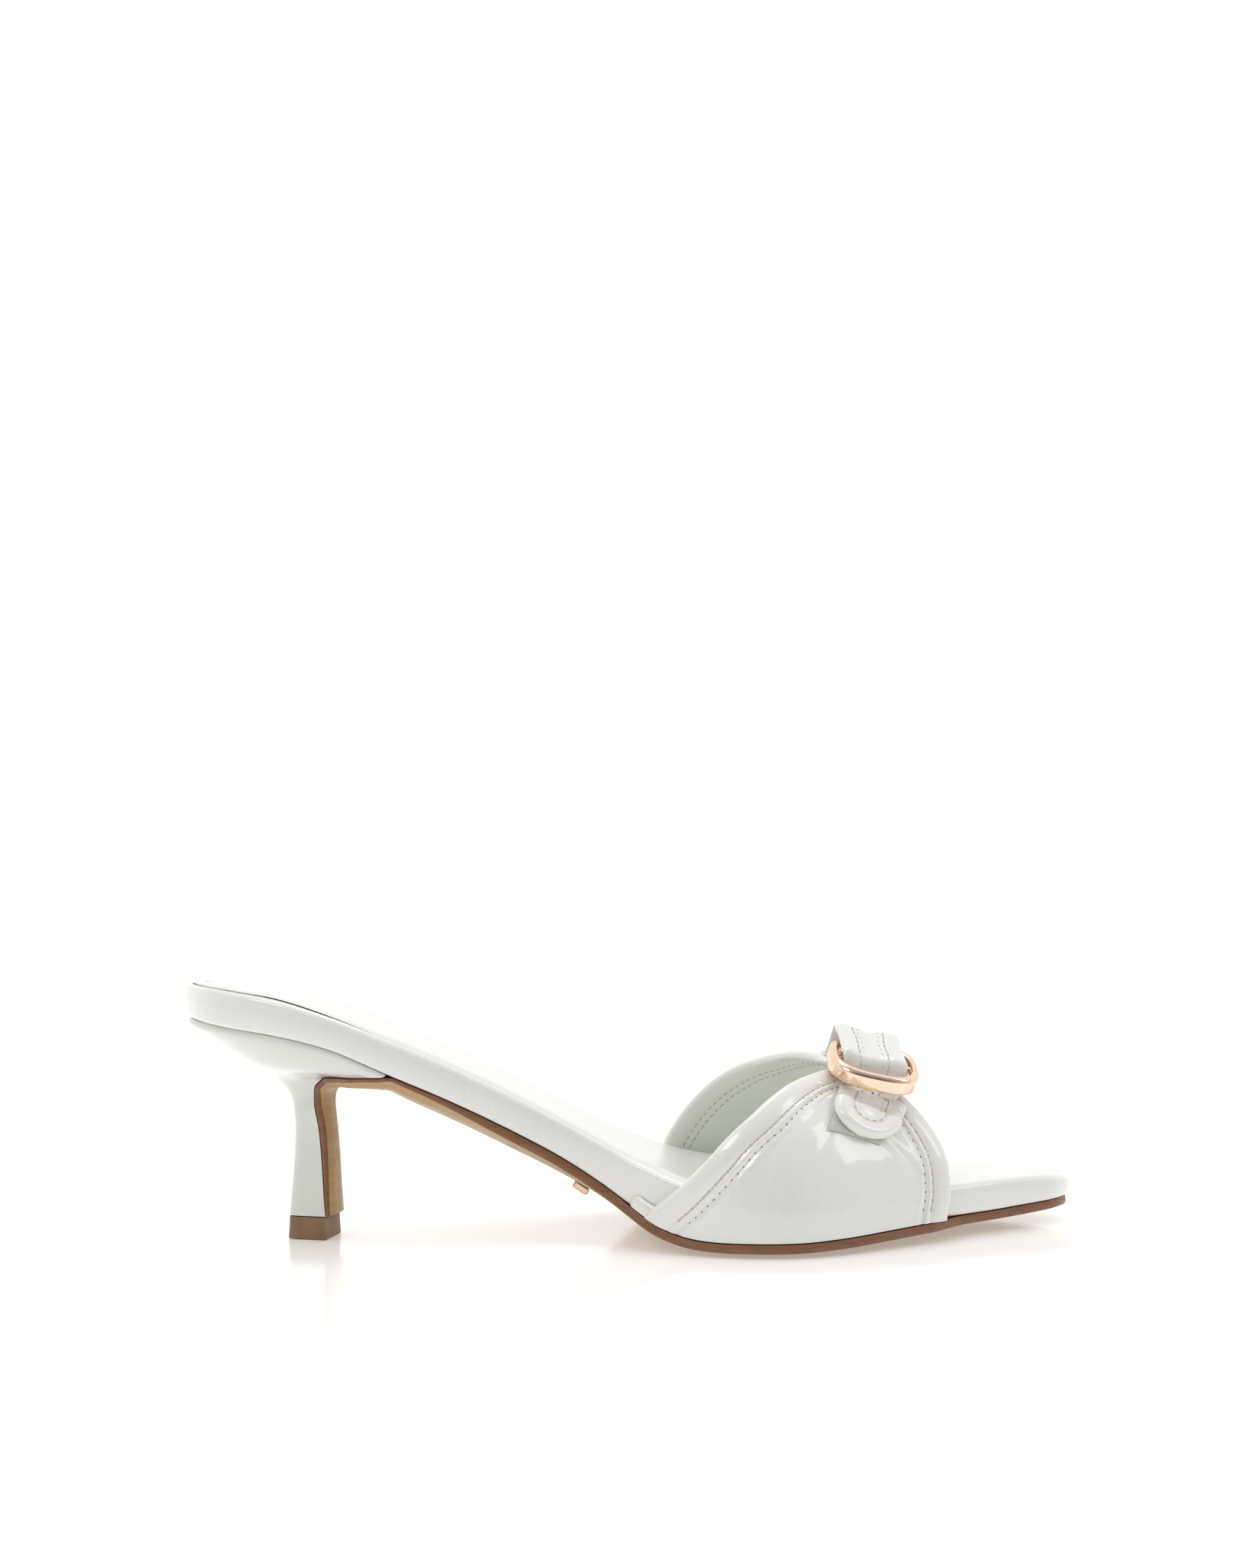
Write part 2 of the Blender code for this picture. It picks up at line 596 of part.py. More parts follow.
def arch_normal(x, v):
    """Outward direction of the upper there."""
    v = np.clip(v, -0.995, 0.995)
    along = arch(x + 0.0005, v) - arch(x - 0.0005, v)
    across = arch(x, v + 0.004) - arch(x, v - 0.004)
    normal = np.cross(along, across)
    return normal / np.linalg.norm(normal, axis=-1)[..., None]


def over_arch(x, v, lift):
    """A point at a height over the upper's leather."""
    return arch(x, v) + arch_normal(x, v) * np.asarray(lift, float)[..., None]


def across_at(x, reach):
    """Place across the upper that lies an arc's length from its top line, + inner."""
    v = np.linspace(-1.0, 1.0, 401)
    points = arch(x, v)
    steps = np.linalg.norm(np.diff(points, axis=0), axis=1)
    length = np.concatenate(([0.0], np.cumsum(steps)))
    return float(np.interp(reach, length - np.interp(0.0, v, length), v))


def edge_back(v):
    share = smooth(column(EDGES, 0), column(EDGES, 1), v)
    return VAMP_TOP - VAMP_NARROW / 2 + (VAMP_BACK - VAMP_TOP + VAMP_NARROW / 2) * share


def edge_front(v):
    share = smooth(column(EDGES, 0), column(EDGES, 2), v)
    return VAMP_TOP + VAMP_NARROW / 2 + (VAMP_FRONT - VAMP_TOP - VAMP_NARROW / 2) * share


def slant(edge, v):
    """How much wider a border measures along the shoe where the edge runs at a slant."""
    low, high = max(v - 0.02, -1.0), min(v + 0.02, 1.0)
    run = float(edge(high) - edge(low))
    arc = np.linalg.norm(arch(edge(v), high) - arch(edge(v), low))
    return min(math.hypot(1.0, run / arc), 2.2)


def border_width(edge, v):
    """Length of the border along the shoe; less where the upper is too narrow for it."""
    return min(BIND_WIDTH * slant(edge, v), BORDER_MOST * float(edge_front(v) - edge_back(v)))


def border_rise(x, v):
    """Height of the raised border over the leather; none inside it, full beyond it."""
    from_back = float(x - edge_back(v)) / border_width(edge_back, v)
    from_front = float(edge_front(v) - x) / border_width(edge_front, v)
    depth = min(from_back, from_front)
    full = BORDER[2][0]
    return BIND_RISE * max(float(smooth(column(BORDER, 0), column(BORDER, 1), max(depth, full))), 0.0)


def upper_section(v):
    """Closed section through the wall from its back edge to its front edge."""
    back, front = float(edge_back(v)), float(edge_front(v))
    wide_back, wide_front = border_width(edge_back, v), border_width(edge_front, v)
    places = [(back + share * wide_back, rise * BIND_RISE) for share, rise in BORDER]
    inner_back = places[-1][0]
    ahead = [(front - share * wide_front, rise * BIND_RISE) for share, rise in BORDER[::-1]]
    inner_front = ahead[0][0]
    for step in range(1, PANEL_STEPS):
        places.append((inner_back + (inner_front - inner_back) * step / PANEL_STEPS, 0.0))
    places += ahead
    outer = [over_arch(x, v, lift) for x, lift in places]
    inner = [over_arch(x, v, -WALL) for x, lift in reversed(places)]
    ends = [over_arch(back, v, -WALL / 2), over_arch(front, v, -WALL / 2)]
    section = [ends[0]] + outer + [ends[1]] + inner
    return [(x, y, max(z, float(bed_low(x)))) for x, y, z in section]


def build_upper():
    """Vamp of one wall, wide at the sole and narrow over the top, open fore and aft."""
    shape = Shape()
    rows = shape.loft([upper_section(v) for v in np.linspace(-1.0, 1.0, ARCH_STEPS + 1)])
    count = len(rows[0])
    pairs = [(k, (count - k) % count) for k in range(count // 2 + 1)]
    shape.cap(rows[0], pairs)
    shape.cap(rows[-1], pairs)
    return shape.finish("upper", WHITE, 0.26, coat=0.7)


def ring_lift():
    """Height of the buckle's middle over the upper's leather."""
    return GAP + BIND_RISE + STRAP_THICK * STRAP_PRESS + GAP + RING_TALL / 2 + RING_EASE


@functools.lru_cache(maxsize=None)
def ring_frame():
    """Buckle's centre and its directions along the shoe, across it and outwards."""
    x = VAMP_TOP + RING_AHEAD
    v = across_at(x, -RING_SHIFT)
    fall, lean = math.radians(RING_FALL), math.radians(RING_LEAN)
    along = np.array((math.cos(fall), 0.0, -math.sin(fall)))
    sideways = np.array((0.0, math.cos(lean), math.sin(lean)))
    outward = np.cross(along, sideways)
    outward /= np.linalg.norm(outward)
    sideways = np.cross(outward, along)
    return arch(x, v) + arch_normal(x, v) * ring_lift(), along, sideways, outward


def build_buckle():
    """Oval ring with a bar across it, which the strap passes over."""
    centre, along, sideways, outward = ring_frame()
    shape = Shape()
    rim = (
        (0.20, -0.50), (0.85, -0.50), (1.00, -0.36), (1.00, 0.20), (0.70, 0.50), (0.30, 0.46), (0.00, 0.12),
    )
    rings = []
    for step in range(RING_STEPS):
        turn = 2 * math.pi * step / RING_STEPS
        c, s = math.cos(turn), math.sin(turn)
        full = (abs(c) ** RING_FULL + abs(s) ** RING_FULL) ** (-1 / RING_FULL)
        ring = []
        for out, up in rim:
            a = (RING_LONG / 2 - RING_RIM * (1 - out)) * c * full
            b = (RING_WIDE / 2 - RING_RIM * (1 - out)) * s * full
            ring.append(centre + along * a + sideways * b + outward * up * RING_TALL)
        rings.append(ring)
    rows = shape.loft(rings)
    shape.bridge(rows[-1], rows[0])
    ring = shape.finish("buckle", ROSE_GOLD, 0.16, metallic=1.0)
    bar = Shape()
    reach = RING_LONG / 2 - RING_RIM / 2
    rings = []
    for a in (-reach, reach):
        circle = []
        for step in range(12):
            turn = 2 * math.pi * step / 12
            offset = sideways * math.cos(turn) + outward * math.sin(turn)
            circle.append(centre + outward * BAR_RISE + along * a + offset * BAR_RADIUS)
        rings.append(circle)
    rows = bar.loft(rings)
    bar.mesh.faces.new(rows[0])
    bar.mesh.faces.new(rows[1])
    rod = bar.finish("buckle_bar", ROSE_GOLD, 0.16, metallic=1.0)
    rod.hide_render = True
    rod.display_type = "WIRE"
    rod.parent = ring
    join = ring.modifiers.new("bar", "BOOLEAN")
    join.operation = "UNION"
    join.object = rod
    return ring


def ring_height(a, s):
    """Height of the buckle's middle plane over the upper, at a along it and s across."""
    centre, along, sideways, outward = ring_frame()
    x = VAMP_TOP + RING_AHEAD + a
    v = across_at(x, s - RING_SHIFT)
    return float(np.dot(centre - arch(x, v), outward) / np.dot(arch_normal(x, v), outward))


def hump(s):
    """Share of the way up onto the bar and the buckle's inner side."""
    reach = min(max(s / (RING_WIDE / 2), HUMP[0][0]), HUMP[-1][0])
    return float(smooth(column(HUMP, 0), column(HUMP, 1), reach))


def strap_lift(s, a):
    """Height of the strap's underside over the upper, s and a from the buckle's centre."""
    share = hump(s)
    x = VAMP_TOP + RING_AHEAD + a
    lift = GAP + border_rise(x, across_at(x, s - RING_SHIFT))
    if share > 0.0:
        bar = BAR_RISE + BAR_RADIUS
        over = bar + (RING_TALL / 2 - bar) * float(ease(2 * s / RING_WIDE))
        lift += (ring_height(a, s) + over) * share
    on_patch = float(ease((-s - RING_WIDE / 2) / PATCH_STEP))
    return lift + (PATCH_THICK + GAP) * on_patch


def strap_press(s):
    """Share of the strap's thickness; it is pressed thinner on its way through the buckle."""
    near = (abs(s) - RING_WIDE / 2) * (PRESS_INNER if s > 0.0 else 1.0)
    return 1 - (1 - STRAP_PRESS) * float(1 - ease((near - PRESS_REACH) / PRESS_EASE))


def strap_half(s):
    """Half the strap's width; it is drawn in a little where it passes through the ring."""
    inside = RING_WIDE / 2 - RING_RIM
    through = float(1 - ease((abs(s) / inside - 0.80) / 0.14)) if s < 0.0 else float(1 - ease(s / inside))
    room = (RING_LONG / 2 - RING_RIM) * max(1 - (abs(s) / inside) ** RING_FULL, 0.0) ** (1 / RING_FULL)
    return STRAP_WIDTH / 2 - max(STRAP_WIDTH / 2 + 4 * GAP - room, 0.0) * through


def pad(distance):
    """Strap's thickness at a distance from its outline: padded edge, hollow middle."""
    wide = STRAP_WIDTH / 2
    full = STRAP_THICK
    heights = (0.50 * full, 0.88 * full, full, 0.97 * full, full - STRAP_DISH, full - STRAP_DISH)
    return float(smooth((0.0, 0.07 * wide, 0.25 * wide, 0.5 * wide, 0.66 * wide, wide), heights, distance))


def build_strap():
    """Padded strap over the top of the upper, through the buckle, to a round tab."""
    head = RING_WIDE / 2 + STRAP_HEAD
    tail = -RING_WIDE / 2 - STRAP_TAIL
    wide = STRAP_WIDTH / 2
    bends = np.linspace(0.0, math.radians(76.0), 8)
    stops = list(np.linspace(head, tail + wide, STRAP_STEPS))
    stops += [tail + wide - wide * math.sin(bend) for bend in bends[1:]]
    spread = (-1.0, -0.92, -0.74, -0.50, -0.34, 0.0, 0.34, 0.50, 0.74, 0.92, 1.0)
    sections = []
    for s in stops:
        past = max(tail + wide - s, 0.0)
        half = math.sqrt(max(wide * wide - past * past, 0.0)) if past > 0.0 else strap_half(s)
        middle = VAMP_TOP + RING_AHEAD * float(ease((head - s) / (head * 0.8)))
        middle -= STRAP_LEAN * max(RING_RIM - RING_WIDE / 2 - s, 0.0) + HUMP_SHIFT * hump(s)
        thin = (HEAD_THIN + (1 - HEAD_THIN) * float(ease((head - s) / HEAD_TAPER))) * strap_press(s)
        upper, lower = [], []
        for t in spread:
            x = middle + t * half
            v = across_at(x, s - RING_SHIFT)
            lift = strap_lift(s, x - VAMP_TOP - RING_AHEAD)
            side = (1 - abs(t)) * half
            end = wide - math.hypot(past, t * half) if past > 0.0 else wide
            upper.append(over_arch(x, v, lift + thin * pad(max(min(side, end), 0.0))))
            inset = 0.12 * STRAP_THICK if abs(t) == 1.0 else 0.0
            lower.append(over_arch(x, v, lift + inset))
        sections.append(upper + lower[::-1])
    shape = Shape()
    rows = shape.loft(sections)
    count = len(sections[0])
    pairs = [(k, count - 1 - k) for k in range(count // 2)]
    shape.cap(rows[0], pairs)
    shape.cap(rows[-1], pairs)
    return shape.finish("strap", WHITE, 0.24, coat=0.7)


def build_patch():
    """Thin square of felt between the strap's tab and the upper."""
    shape = Shape()
    x = VAMP_TOP + RING_AHEAD - STRAP_LEAN * (RING_RIM + STRAP_TAIL) - PATCH_SIDE * 0.05
    reach = -RING_SHIFT - RING_WIDE / 2 - STRAP_TAIL - PATCH_OVER
    angle = math.radians(PATCH_TURN)
    count = 5
    grid = []
    for i in range(count):
        for j in range(count):
            a = PATCH_SIDE * (i / (count - 1) - 0.5)
            b = PATCH_DEPTH * j / (count - 1)
            grid.append((x + a * math.cos(angle) + b * STRAP_LEAN, reach + b - a * math.sin(angle)))
    layers = []
    for lift in (GAP, GAP + PATCH_THICK):
        places = [(px, across_at(px, r)) for px, r in grid]
        layers.append(shape.row([over_arch(px, v, lift + border_rise(px, v)) for px, v in places]))
    border = [i * count for i in range(count)]
    border += [(count - 1) * count + j for j in range(1, count)]
    border += [i * count + count - 1 for i in range(count - 2, -1, -1)]
    border += list(range(count - 2, 0, -1))
    shape.bridge([layers[0][k] for k in border], [layers[1][k] for k in border])
    for layer in layers:
        for i in range(count - 1):
            for j in range(count - 1):
                corner = i * count + j
                beyond = corner + count
                shape.face(layer[corner], layer[corner + 1], layer[beyond + 1], layer[beyond])
    return shape.finish("strap_patch", FELT, 0.85)


def build_plate():
    """Small bare metal plate let on to the underside of the waist."""
    long, wide, tall = PLATE_SIZE
    x = PLATE_PLACE
    slope = math.atan2(float(bed_low(x + 0.003) - bed_low(x - 0.003)), 0.006)
    crown = SOLE_CROWN * float(smooth(column(CROWN, 0), column(CROWN, 1), x / LENGTH))
    drop = GAP + SOLE_THICK + crown + GAP * 1.5 + tall / 2
    shape = Shape()
    bmesh.ops.create_cube(shape.mesh, size=1.0)
    bmesh.ops.scale(shape.mesh, vec=(long, wide, tall), verts=shape.mesh.verts)
    bmesh.ops.bevel(shape.mesh, geom=shape.mesh.edges[:], offset=tall * 0.2, segments=1, affect="EDGES")
    plate = shape.finish("sole_plate", ROSE_GOLD, 0.2, metallic=1.0)
    plate.rotation_euler = (0.0, -slope, 0.0)
    z = float(bed_low(x)) - drop * math.cos(slope)
    plate.location = (x + drop * math.sin(slope), float(bed_centre(x)), z)
    return plate


def stand_on_origin(pieces):
    """Moves all the pieces so that the middle of the ground under them is the origin."""
    bpy.context.view_layer.update()
    corners = [piece.matrix_world @ vertex.co for piece in pieces for vertex in piece.data.vertices]
    corners = np.array(corners)
    low, high = corners.min(axis=0), corners.max(axis=0)
    frame = bpy.data.objects.new("shoe", None)
    bpy.context.scene.collection.objects.link(frame)
    for piece in pieces:
        piece.parent = frame
    frame.location = (-(low[0] + high[0]) / 2, -(low[1] + high[1]) / 2, -low[2])


def main():
    for thing in list(bpy.data.objects):
        bpy.data.objects.remove(thing, do_unlink=True)
    builders = (
        build_footbed, build_sock, build_outsole, build_heel, build_heel_tip,
        build_upper, build_strap, build_patch, build_buckle, build_plate,
    )
    stand_on_origin([build() for build in builders])


main()
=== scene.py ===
"""The dressed model of a white patent mule: fine forms, seams, stitches and finishes.

Metres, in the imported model's frame. Lengths along the shoe are counted from the
back of the heel, as in the part's own source, and OFFSET takes them to the frame.
"""
import functools
import math

import bmesh
import bpy
import numpy as np
from mathutils import Matrix, Vector


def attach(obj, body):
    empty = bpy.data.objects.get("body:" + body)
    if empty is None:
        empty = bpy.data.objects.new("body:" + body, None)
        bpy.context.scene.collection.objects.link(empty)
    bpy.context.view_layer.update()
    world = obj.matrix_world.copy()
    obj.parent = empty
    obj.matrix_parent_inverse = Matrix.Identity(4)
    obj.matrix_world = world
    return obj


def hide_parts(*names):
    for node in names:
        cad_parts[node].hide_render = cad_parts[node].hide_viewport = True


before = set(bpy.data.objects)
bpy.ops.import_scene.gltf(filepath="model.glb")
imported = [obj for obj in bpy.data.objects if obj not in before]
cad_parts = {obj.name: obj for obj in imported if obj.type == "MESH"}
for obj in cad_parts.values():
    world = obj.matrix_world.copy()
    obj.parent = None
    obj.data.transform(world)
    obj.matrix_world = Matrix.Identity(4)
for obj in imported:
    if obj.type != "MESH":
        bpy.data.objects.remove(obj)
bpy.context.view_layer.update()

OFFSET = np.array((-0.1140, 0.00297, 0.0))

# Overall sizes of the shoe
LENGTH = 0.228            # back of the heel to the tip of the toe, along the floor
BALL_WIDTH = 0.0796       # footbed across the ball of the foot
WAIST_WIDTH = 0.0462      # footbed across the arch
SEAT_WIDTH = 0.0504       # footbed across the heel seat
TOE_WIDTH = 0.0352        # footbed across the toe, a short way back from its tip
SEAT_HEIGHT = 0.0577      # underside of the footbed at the heel, over the floor
TOE_SPRING = 0.0036       # how far the tip of the toe is lifted

# Layers under the foot
GAP = 0.0003              # clearance between two pieces that meet
BED_THICK = 0.0084        # wrapped footbed board at the heel seat
BED_ROUND = 0.0016        # rounding of the footbed's upper edge
BED_CROWN = 0.0008        # padding of the footbed along its middle
SOLE_THICK = 0.0021       # outsole at its edge
SOLE_CROWN = 0.0036       # rounding of the outsole's underside at the waist
SOLE_FLAT = 0.32          # share of its half width that is flat underneath
EDGE_LIFT = 0.0010        # outsole's edge over the floor under the ball
SOLE_INSET = 0.0010       # outsole stays inside the footbed at toe and waist
SOLE_SWELL = 0.0120       # length over which it comes out to carry the upper
SOLE_JOIN = 0.0015        # last of the flat waist before the heel block begins
SOLE_END = 0.0016         # from the tip of the toe back to the end of the outsole
SOCK_THICK = 0.0005       # glued cover on the footbed
SOCK_INSET = 0.0018       # cover's edge from the footbed's edge
SOCK_LENGTH = 0.172       # cover's end, under the upper

# Heel
SEAT_LENGTH = 0.0545      # where the heel block's front runs out under the waist
TIP_SETBACK = 0.0271      # heel tip from the back of the shoe
TIP_LENGTH = 0.0108
TIP_WIDTH = 0.0104        # across its front; it tapers to the back
TIP_HEIGHT = 0.0056
TIP_TAPER = 0.68          # width at the back of the tip over that at its front
HEEL_TWIST = -12.0        # degrees, the breast turns a little to the outer side
HEEL_SHIFT = 0.0006       # heel tip's centre, towards the inner side
LIP_ROUND = 0.0006        # rounding of the heel block's rim under the footbed

# Upper
WALL = 0.0016             # leather and lining
UPPER_EASE = 0.0005       # extra room beside the footbed
VAMP_HEIGHT = 0.0360      # top of the upper over its base, under the buckle
VAMP_TOP = 0.173          # middle of the upper's narrow top, from the heel's back
VAMP_NARROW = 0.0140      # its width there
VAMP_BACK = 0.1165        # back end of its base on the outer side
VAMP_FRONT = 0.1900       # front end of its base on the outer side
VAMP_SLOPE = 0.33         # fall of the instep towards the toe
VAMP_FULL = 2.3           # roundness of the cross-section; 2 is an ellipse
BIND_WIDTH = 0.0072       # folded and stitched border along both edges
BIND_RISE = 0.0008        # its height over the leather beside it
BORDER_MOST = 0.43        # most that one border may take of the upper's own length

# Strap, buckle and patch
STRAP_WIDTH = 0.0160
STRAP_THICK = 0.0024
STRAP_PRESS = 0.50        # share of its thickness that is left under the buckle
STRAP_TAIL = 0.0112       # tab beyond the buckle's near side
STRAP_HEAD = 0.0150       # strap beyond the buckle's far side
STRAP_LEAN = 0.42         # tab's drift towards the heel, over its own length
PRESS_REACH = 0.0014      # strap stays pressed this far beyond the buckle's sides
PRESS_EASE = 0.0020       # length over which it then regains its thickness
PRESS_INNER = 0.4         # the same two lengths, as a rate on the buckle's inner side
PATCH_STEP = 0.0030       # length over which the tab climbs onto the patch
HEAD_TAPER = 0.0080       # length over which the strap's inner end thins out
HEAD_THIN = 0.45          # share of its thickness that is left at that end
HUMP_SHIFT = 0.0009       # drift of the raised strap, square to the buckle, not the upper
RING_LONG = 0.0228        # buckle along the shoe
RING_WIDE = 0.0200        # buckle across the shoe
RING_RIM = 0.0026
RING_TALL = 0.0042
RING_SHIFT = 0.0176       # buckle's centre, from the top line to the outer side
RING_AHEAD = 0.0005       # buckle's centre ahead of the middle of the upper's top
RING_FALL = 13.0          # degrees, its toe end lower than its heel end
RING_LEAN = 24.0          # degrees, its outer side lower than its inner side
RING_FULL = 2.7           # fullness of its oval; 2 is an ellipse
RING_EASE = 0.0004        # extra room under the flat ring for the curved upper
BAR_RADIUS = 0.0008
BAR_RISE = 0.0008         # bar's centre over the middle of the ring
PATCH_SIDE = 0.0131
PATCH_DEPTH = 0.0080      # across the shoe, mostly hidden under the tab
PATCH_THICK = 0.0006
PATCH_OVER = 0.0001       # its lower edge over the end of the tab
PATCH_TURN = -8.0         # degrees, against the shoe's length

# How finely the pieces are divided
SIDE_STEPS = 150          # along one side of the footbed
ARCH_STEPS = 220          # across the upper
ROUND_STEPS = 44          # round the heel
HEEL_STEPS = 70           # down the heel
RING_STEPS = 96           # round the buckle
STRAP_STEPS = 130         # along the strap
PANEL_STEPS = 84          # along the upper between its borders

# Fine forms, all in metres
SEAM_OUTER = 0.0049       # outer row of stitches, from the folded edge
SEAM_INNER = 0.0067       # inner row, where the border is sewn to the leather
SEAM_LIFT = 0.00022       # outer row over the leather
SEAM_SINK = 0.00012       # inner row under it
LINING_LIFT = 0.0001      # stitches inside, in from the wall's inner face
STITCH_PITCH = 0.00210
STITCH_LENGTH = 0.00150
THREAD = 0.00020          # its radius
PIN_PITCH = 0.00210
PIN_RADIUS = 0.00016
PIN_LENGTH = 0.00062
PUCKER = 0.00005          # ripple of the leather along the inner seam
PUCKER_PITCH = 0.0043
RIB_PITCH = 0.0019        # tread under the forefoot
RIB_DEPTH = 0.00022
RIB_BOW = 4.2             # bend of the ribs, per metre
RIB_FROM, RIB_TO = 0.121, 0.216
RIB_FADE = 0.002          # length over which the grooves start and end
RIB_STEP = 0.00028        # stations of the outsole there
CHANNEL = 0.0042          # strap's padded edge, up to its outer row of stitches
CHANNEL_INNER = 0.0054    # its inner row

# Border from its folded edge inwards: place and height over the leather
FINE_BORDER = (
    (0.0012, 0.00080), (0.0018, 0.00088), (0.0025, 0.00090), (0.0033, 0.00082), (0.0040, 0.00062),
    (0.0045, 0.00038), (0.0048, 0.00022), (0.0051, 0.00024), (0.0054, 0.00038), (0.0058, 0.00046),
    (0.0061, 0.00036), (0.0064, 0.00004), (0.0067, -0.00018), (0.0070, -0.00012), (0.0074, 0.00004),
    (0.0080, 0.00010),
)

# Soft creases of the leather. Each row: place along the shoe, place across the
# upper, direction in degrees from the shoe's length, length, width and depth
CREASES = (
    (0.1395, -0.66, 48.0, 0.0150, 0.0011, 0.00014),
    (0.1420, -0.71, 52.0, 0.0120, 0.0009, 0.00012),
    (0.1450, -0.63, 44.0, 0.0100, 0.0010, 0.00011),
    (0.1480, -0.70, 58.0, 0.0140, 0.0013, 0.00013),
    (0.1560, -0.58, 35.0, 0.0090, 0.0011, 0.00010),
    (0.1600, -0.66, 64.0, 0.0130, 0.0014, 0.00014),
    (0.1760, -0.66, -40.0, 0.0110, 0.0012, 0.00012),
    (0.1800, -0.74, -55.0, 0.0130, 0.0015, 0.00014),
    (0.1840, -0.60, -62.0, 0.0100, 0.0010, 0.00012),
    (0.1500, 0.55, 50.0, 0.0140, 0.0014, 0.00014),
    (0.1580, 0.63, 40.0, 0.0120, 0.0012, 0.00012),
    (0.1700, 0.58, -30.0, 0.0120, 0.0014, 0.00014),
)

# Height of the border that the strap rests on: share of BIND_WIDTH, share of BIND_RISE
BORDER = (
    (0.05, 0.35), (0.17, 0.85), (0.42, 1.00), (0.72, 0.85), (0.92, 0.40), (1.00, 0.00), (1.10, 0.00),
)

# Inside of the folded border: distance from the edge, and how far it sinks into the wall
INNER_BORDER = (
    (0.0012, 0.0), (0.0030, 0.0), (0.0044, 0.00002), (0.0049, 0.00012), (0.0054, 0.00002),
    (0.0062, 0.00002), (0.0067, 0.00012), (0.0072, 0.00002), (0.0080, 0.0),
)
LOBE_LONG, LOBE_COVER = 0.0030, 0.0030    # lobe behind the vamp's corner, and under it
LOBE_TALL, LOBE_THICK = 0.0040, 0.0013
SOCK_GAPE = 0.034         # the sock's edge stands off the footbed up to here
# Share of the sole's thickness that is painted brown, from the toe to the heel tip
PAINTED = ((0.0, 1.0), (0.62, 1.0), (0.74, 0.45), (0.80, 0.36), (0.84, 0.55), (0.90, 1.0), (1.0, 1.0))
ARC_LENGTH = 0.052        # about half the way round the upper, base to top line

# Strap's thickness as a share of STRAP_THICK, from its outline inwards: a padded
# edge, then a hollow with two sewn rows
PAD = (
    (0.0, 0.34), (0.00012, 0.52), (0.00035, 0.70), (0.0007, 0.86), (0.0012, 0.96), (0.0019, 1.00),
    (0.0027, 0.97), (0.0034, 0.88), (0.0039, 0.75), (0.0042, 0.68), (0.0045, 0.73), (0.0048, 0.76),
    (0.0051, 0.74), (0.0054, 0.68), (0.0058, 0.74), (0.0064, 0.80), (0.0080, 0.82),
)
STRAP_COLUMNS = (
    0.0, 0.00012, 0.00035, 0.0006, 0.0009, 0.0013, 0.0017, 0.0021, 0.0026, 0.0031, 0.0035, 0.0039,
    0.0042, 0.0045, 0.0048, 0.0051, 0.0054, 0.0057, 0.0062, 0.0068, 0.0074, 0.0080,
)
STRAP_START = RING_WIDE / 2 + STRAP_HEAD
STRAP_END = -RING_WIDE / 2 - STRAP_TAIL
HOLE_PLACE = -RING_WIDE / 2 + RING_RIM + 0.0014    # punched hole, from the buckle's centre
HOLE_RADIUS = 0.00055
SOLE_STREAK = (1.0, 1.0, 6.0)    # the sole's colour runs in streaks across this stretch

# Buckle's rim as shares of its width and height
RIM = (
    (0.15, -0.50), (0.88, -0.50), (0.96, -0.48), (1.00, -0.41), (1.00, 0.00), (1.00, 0.25), (0.98, 0.31),
    (0.74, 0.48), (0.67, 0.50), (0.34, 0.50), (0.27, 0.48), (0.03, 0.28), (0.00, 0.20), (0.00, -0.32),
    (0.05, -0.47),
)
# Footbed's side wall: inwards from its plan, and share of its height
BED_WALL = (
    (0.0008, 0.0), (0.0003, 0.03), (0.0, 0.09), (-0.0001, 0.25), (-0.0002, 0.45), (-0.0001, 0.68),
)
# Sock's edge: inwards from SOCK_INSET, and share of its height over the footbed
SOCK_EDGE = (
    (-0.0002, 0.0), (0.0, 0.22), (0.0004, 0.46), (0.0010, 0.72), (0.0018, 0.92), (0.0028, 1.0),
)
# Sole's edge: outwards from its half width, and share of its thickness
SOLE_RIM = (
    (0.00006, 0.10), (0.00016, 0.30), (0.00020, 0.52), (0.00014, 0.76), (-0.00002, 0.92),
)
# Stitch and pinhole as rounded bodies: share of the length, share of the radius, height in radii
STITCH_BODY = (
    (0.0, 0.45, -0.9), (0.10, 0.85, -0.35), (0.30, 1.0, 0.15), (0.70, 1.0, 0.15), (0.90, 0.85, -0.35),
    (1.0, 0.45, -0.9),
)
PIN_BODY = ((0.0, 0.15, -0.55), (0.15, 0.72, -0.55), (0.5, 1.0, -0.55), (0.85, 0.72, -0.55), (1.0, 0.15, -0.55))
# Columns across the footbed's top
BED_COLUMNS = (0.03, 0.07, 0.12, 0.2, 0.3, 0.4, 0.5, 0.6, 0.7, 0.8, 0.88, 0.93, 0.97)

# Camera and lamps
CAMERA_PLACE = (0.1026, -0.4151, 0.0747)
CAMERA_LENS = 35.96
CAMERA_YAW, CAMERA_PITCH, CAMERA_ROLL = 1.85, 5.62, 1.3
# Each lamp: its name, place, what it faces, size and power
LAMPS = (
    ("overhead", (-0.05, 0.05, 0.90), (0.0, 0.0, 0.0), (0.70, 0.22), 1.5),
    ("key", (-0.45, -0.60, 0.62), (0.0, 0.0, 0.03), (0.28, 0.28), 1.0),
    ("fill", (0.60, -0.30, 0.50), (0.03, 0.0, 0.03), (0.20, 0.40), 0.5),
)
# The room's light: how far a direction points behind the shoe, and its brightness
ROOM = ((-1.0, 0.06), (-0.93, 0.16), (-0.72, 0.46), (0.10, 1.0))
ROOM_LIGHT = 1.06
FLOOR_HALF = 4.0
FLOOR_DROP = 0.00005      # floor's surface under the shoe's lowest points
FLOOR_GLOW = 0.24         # keeps the floor white round the shoe

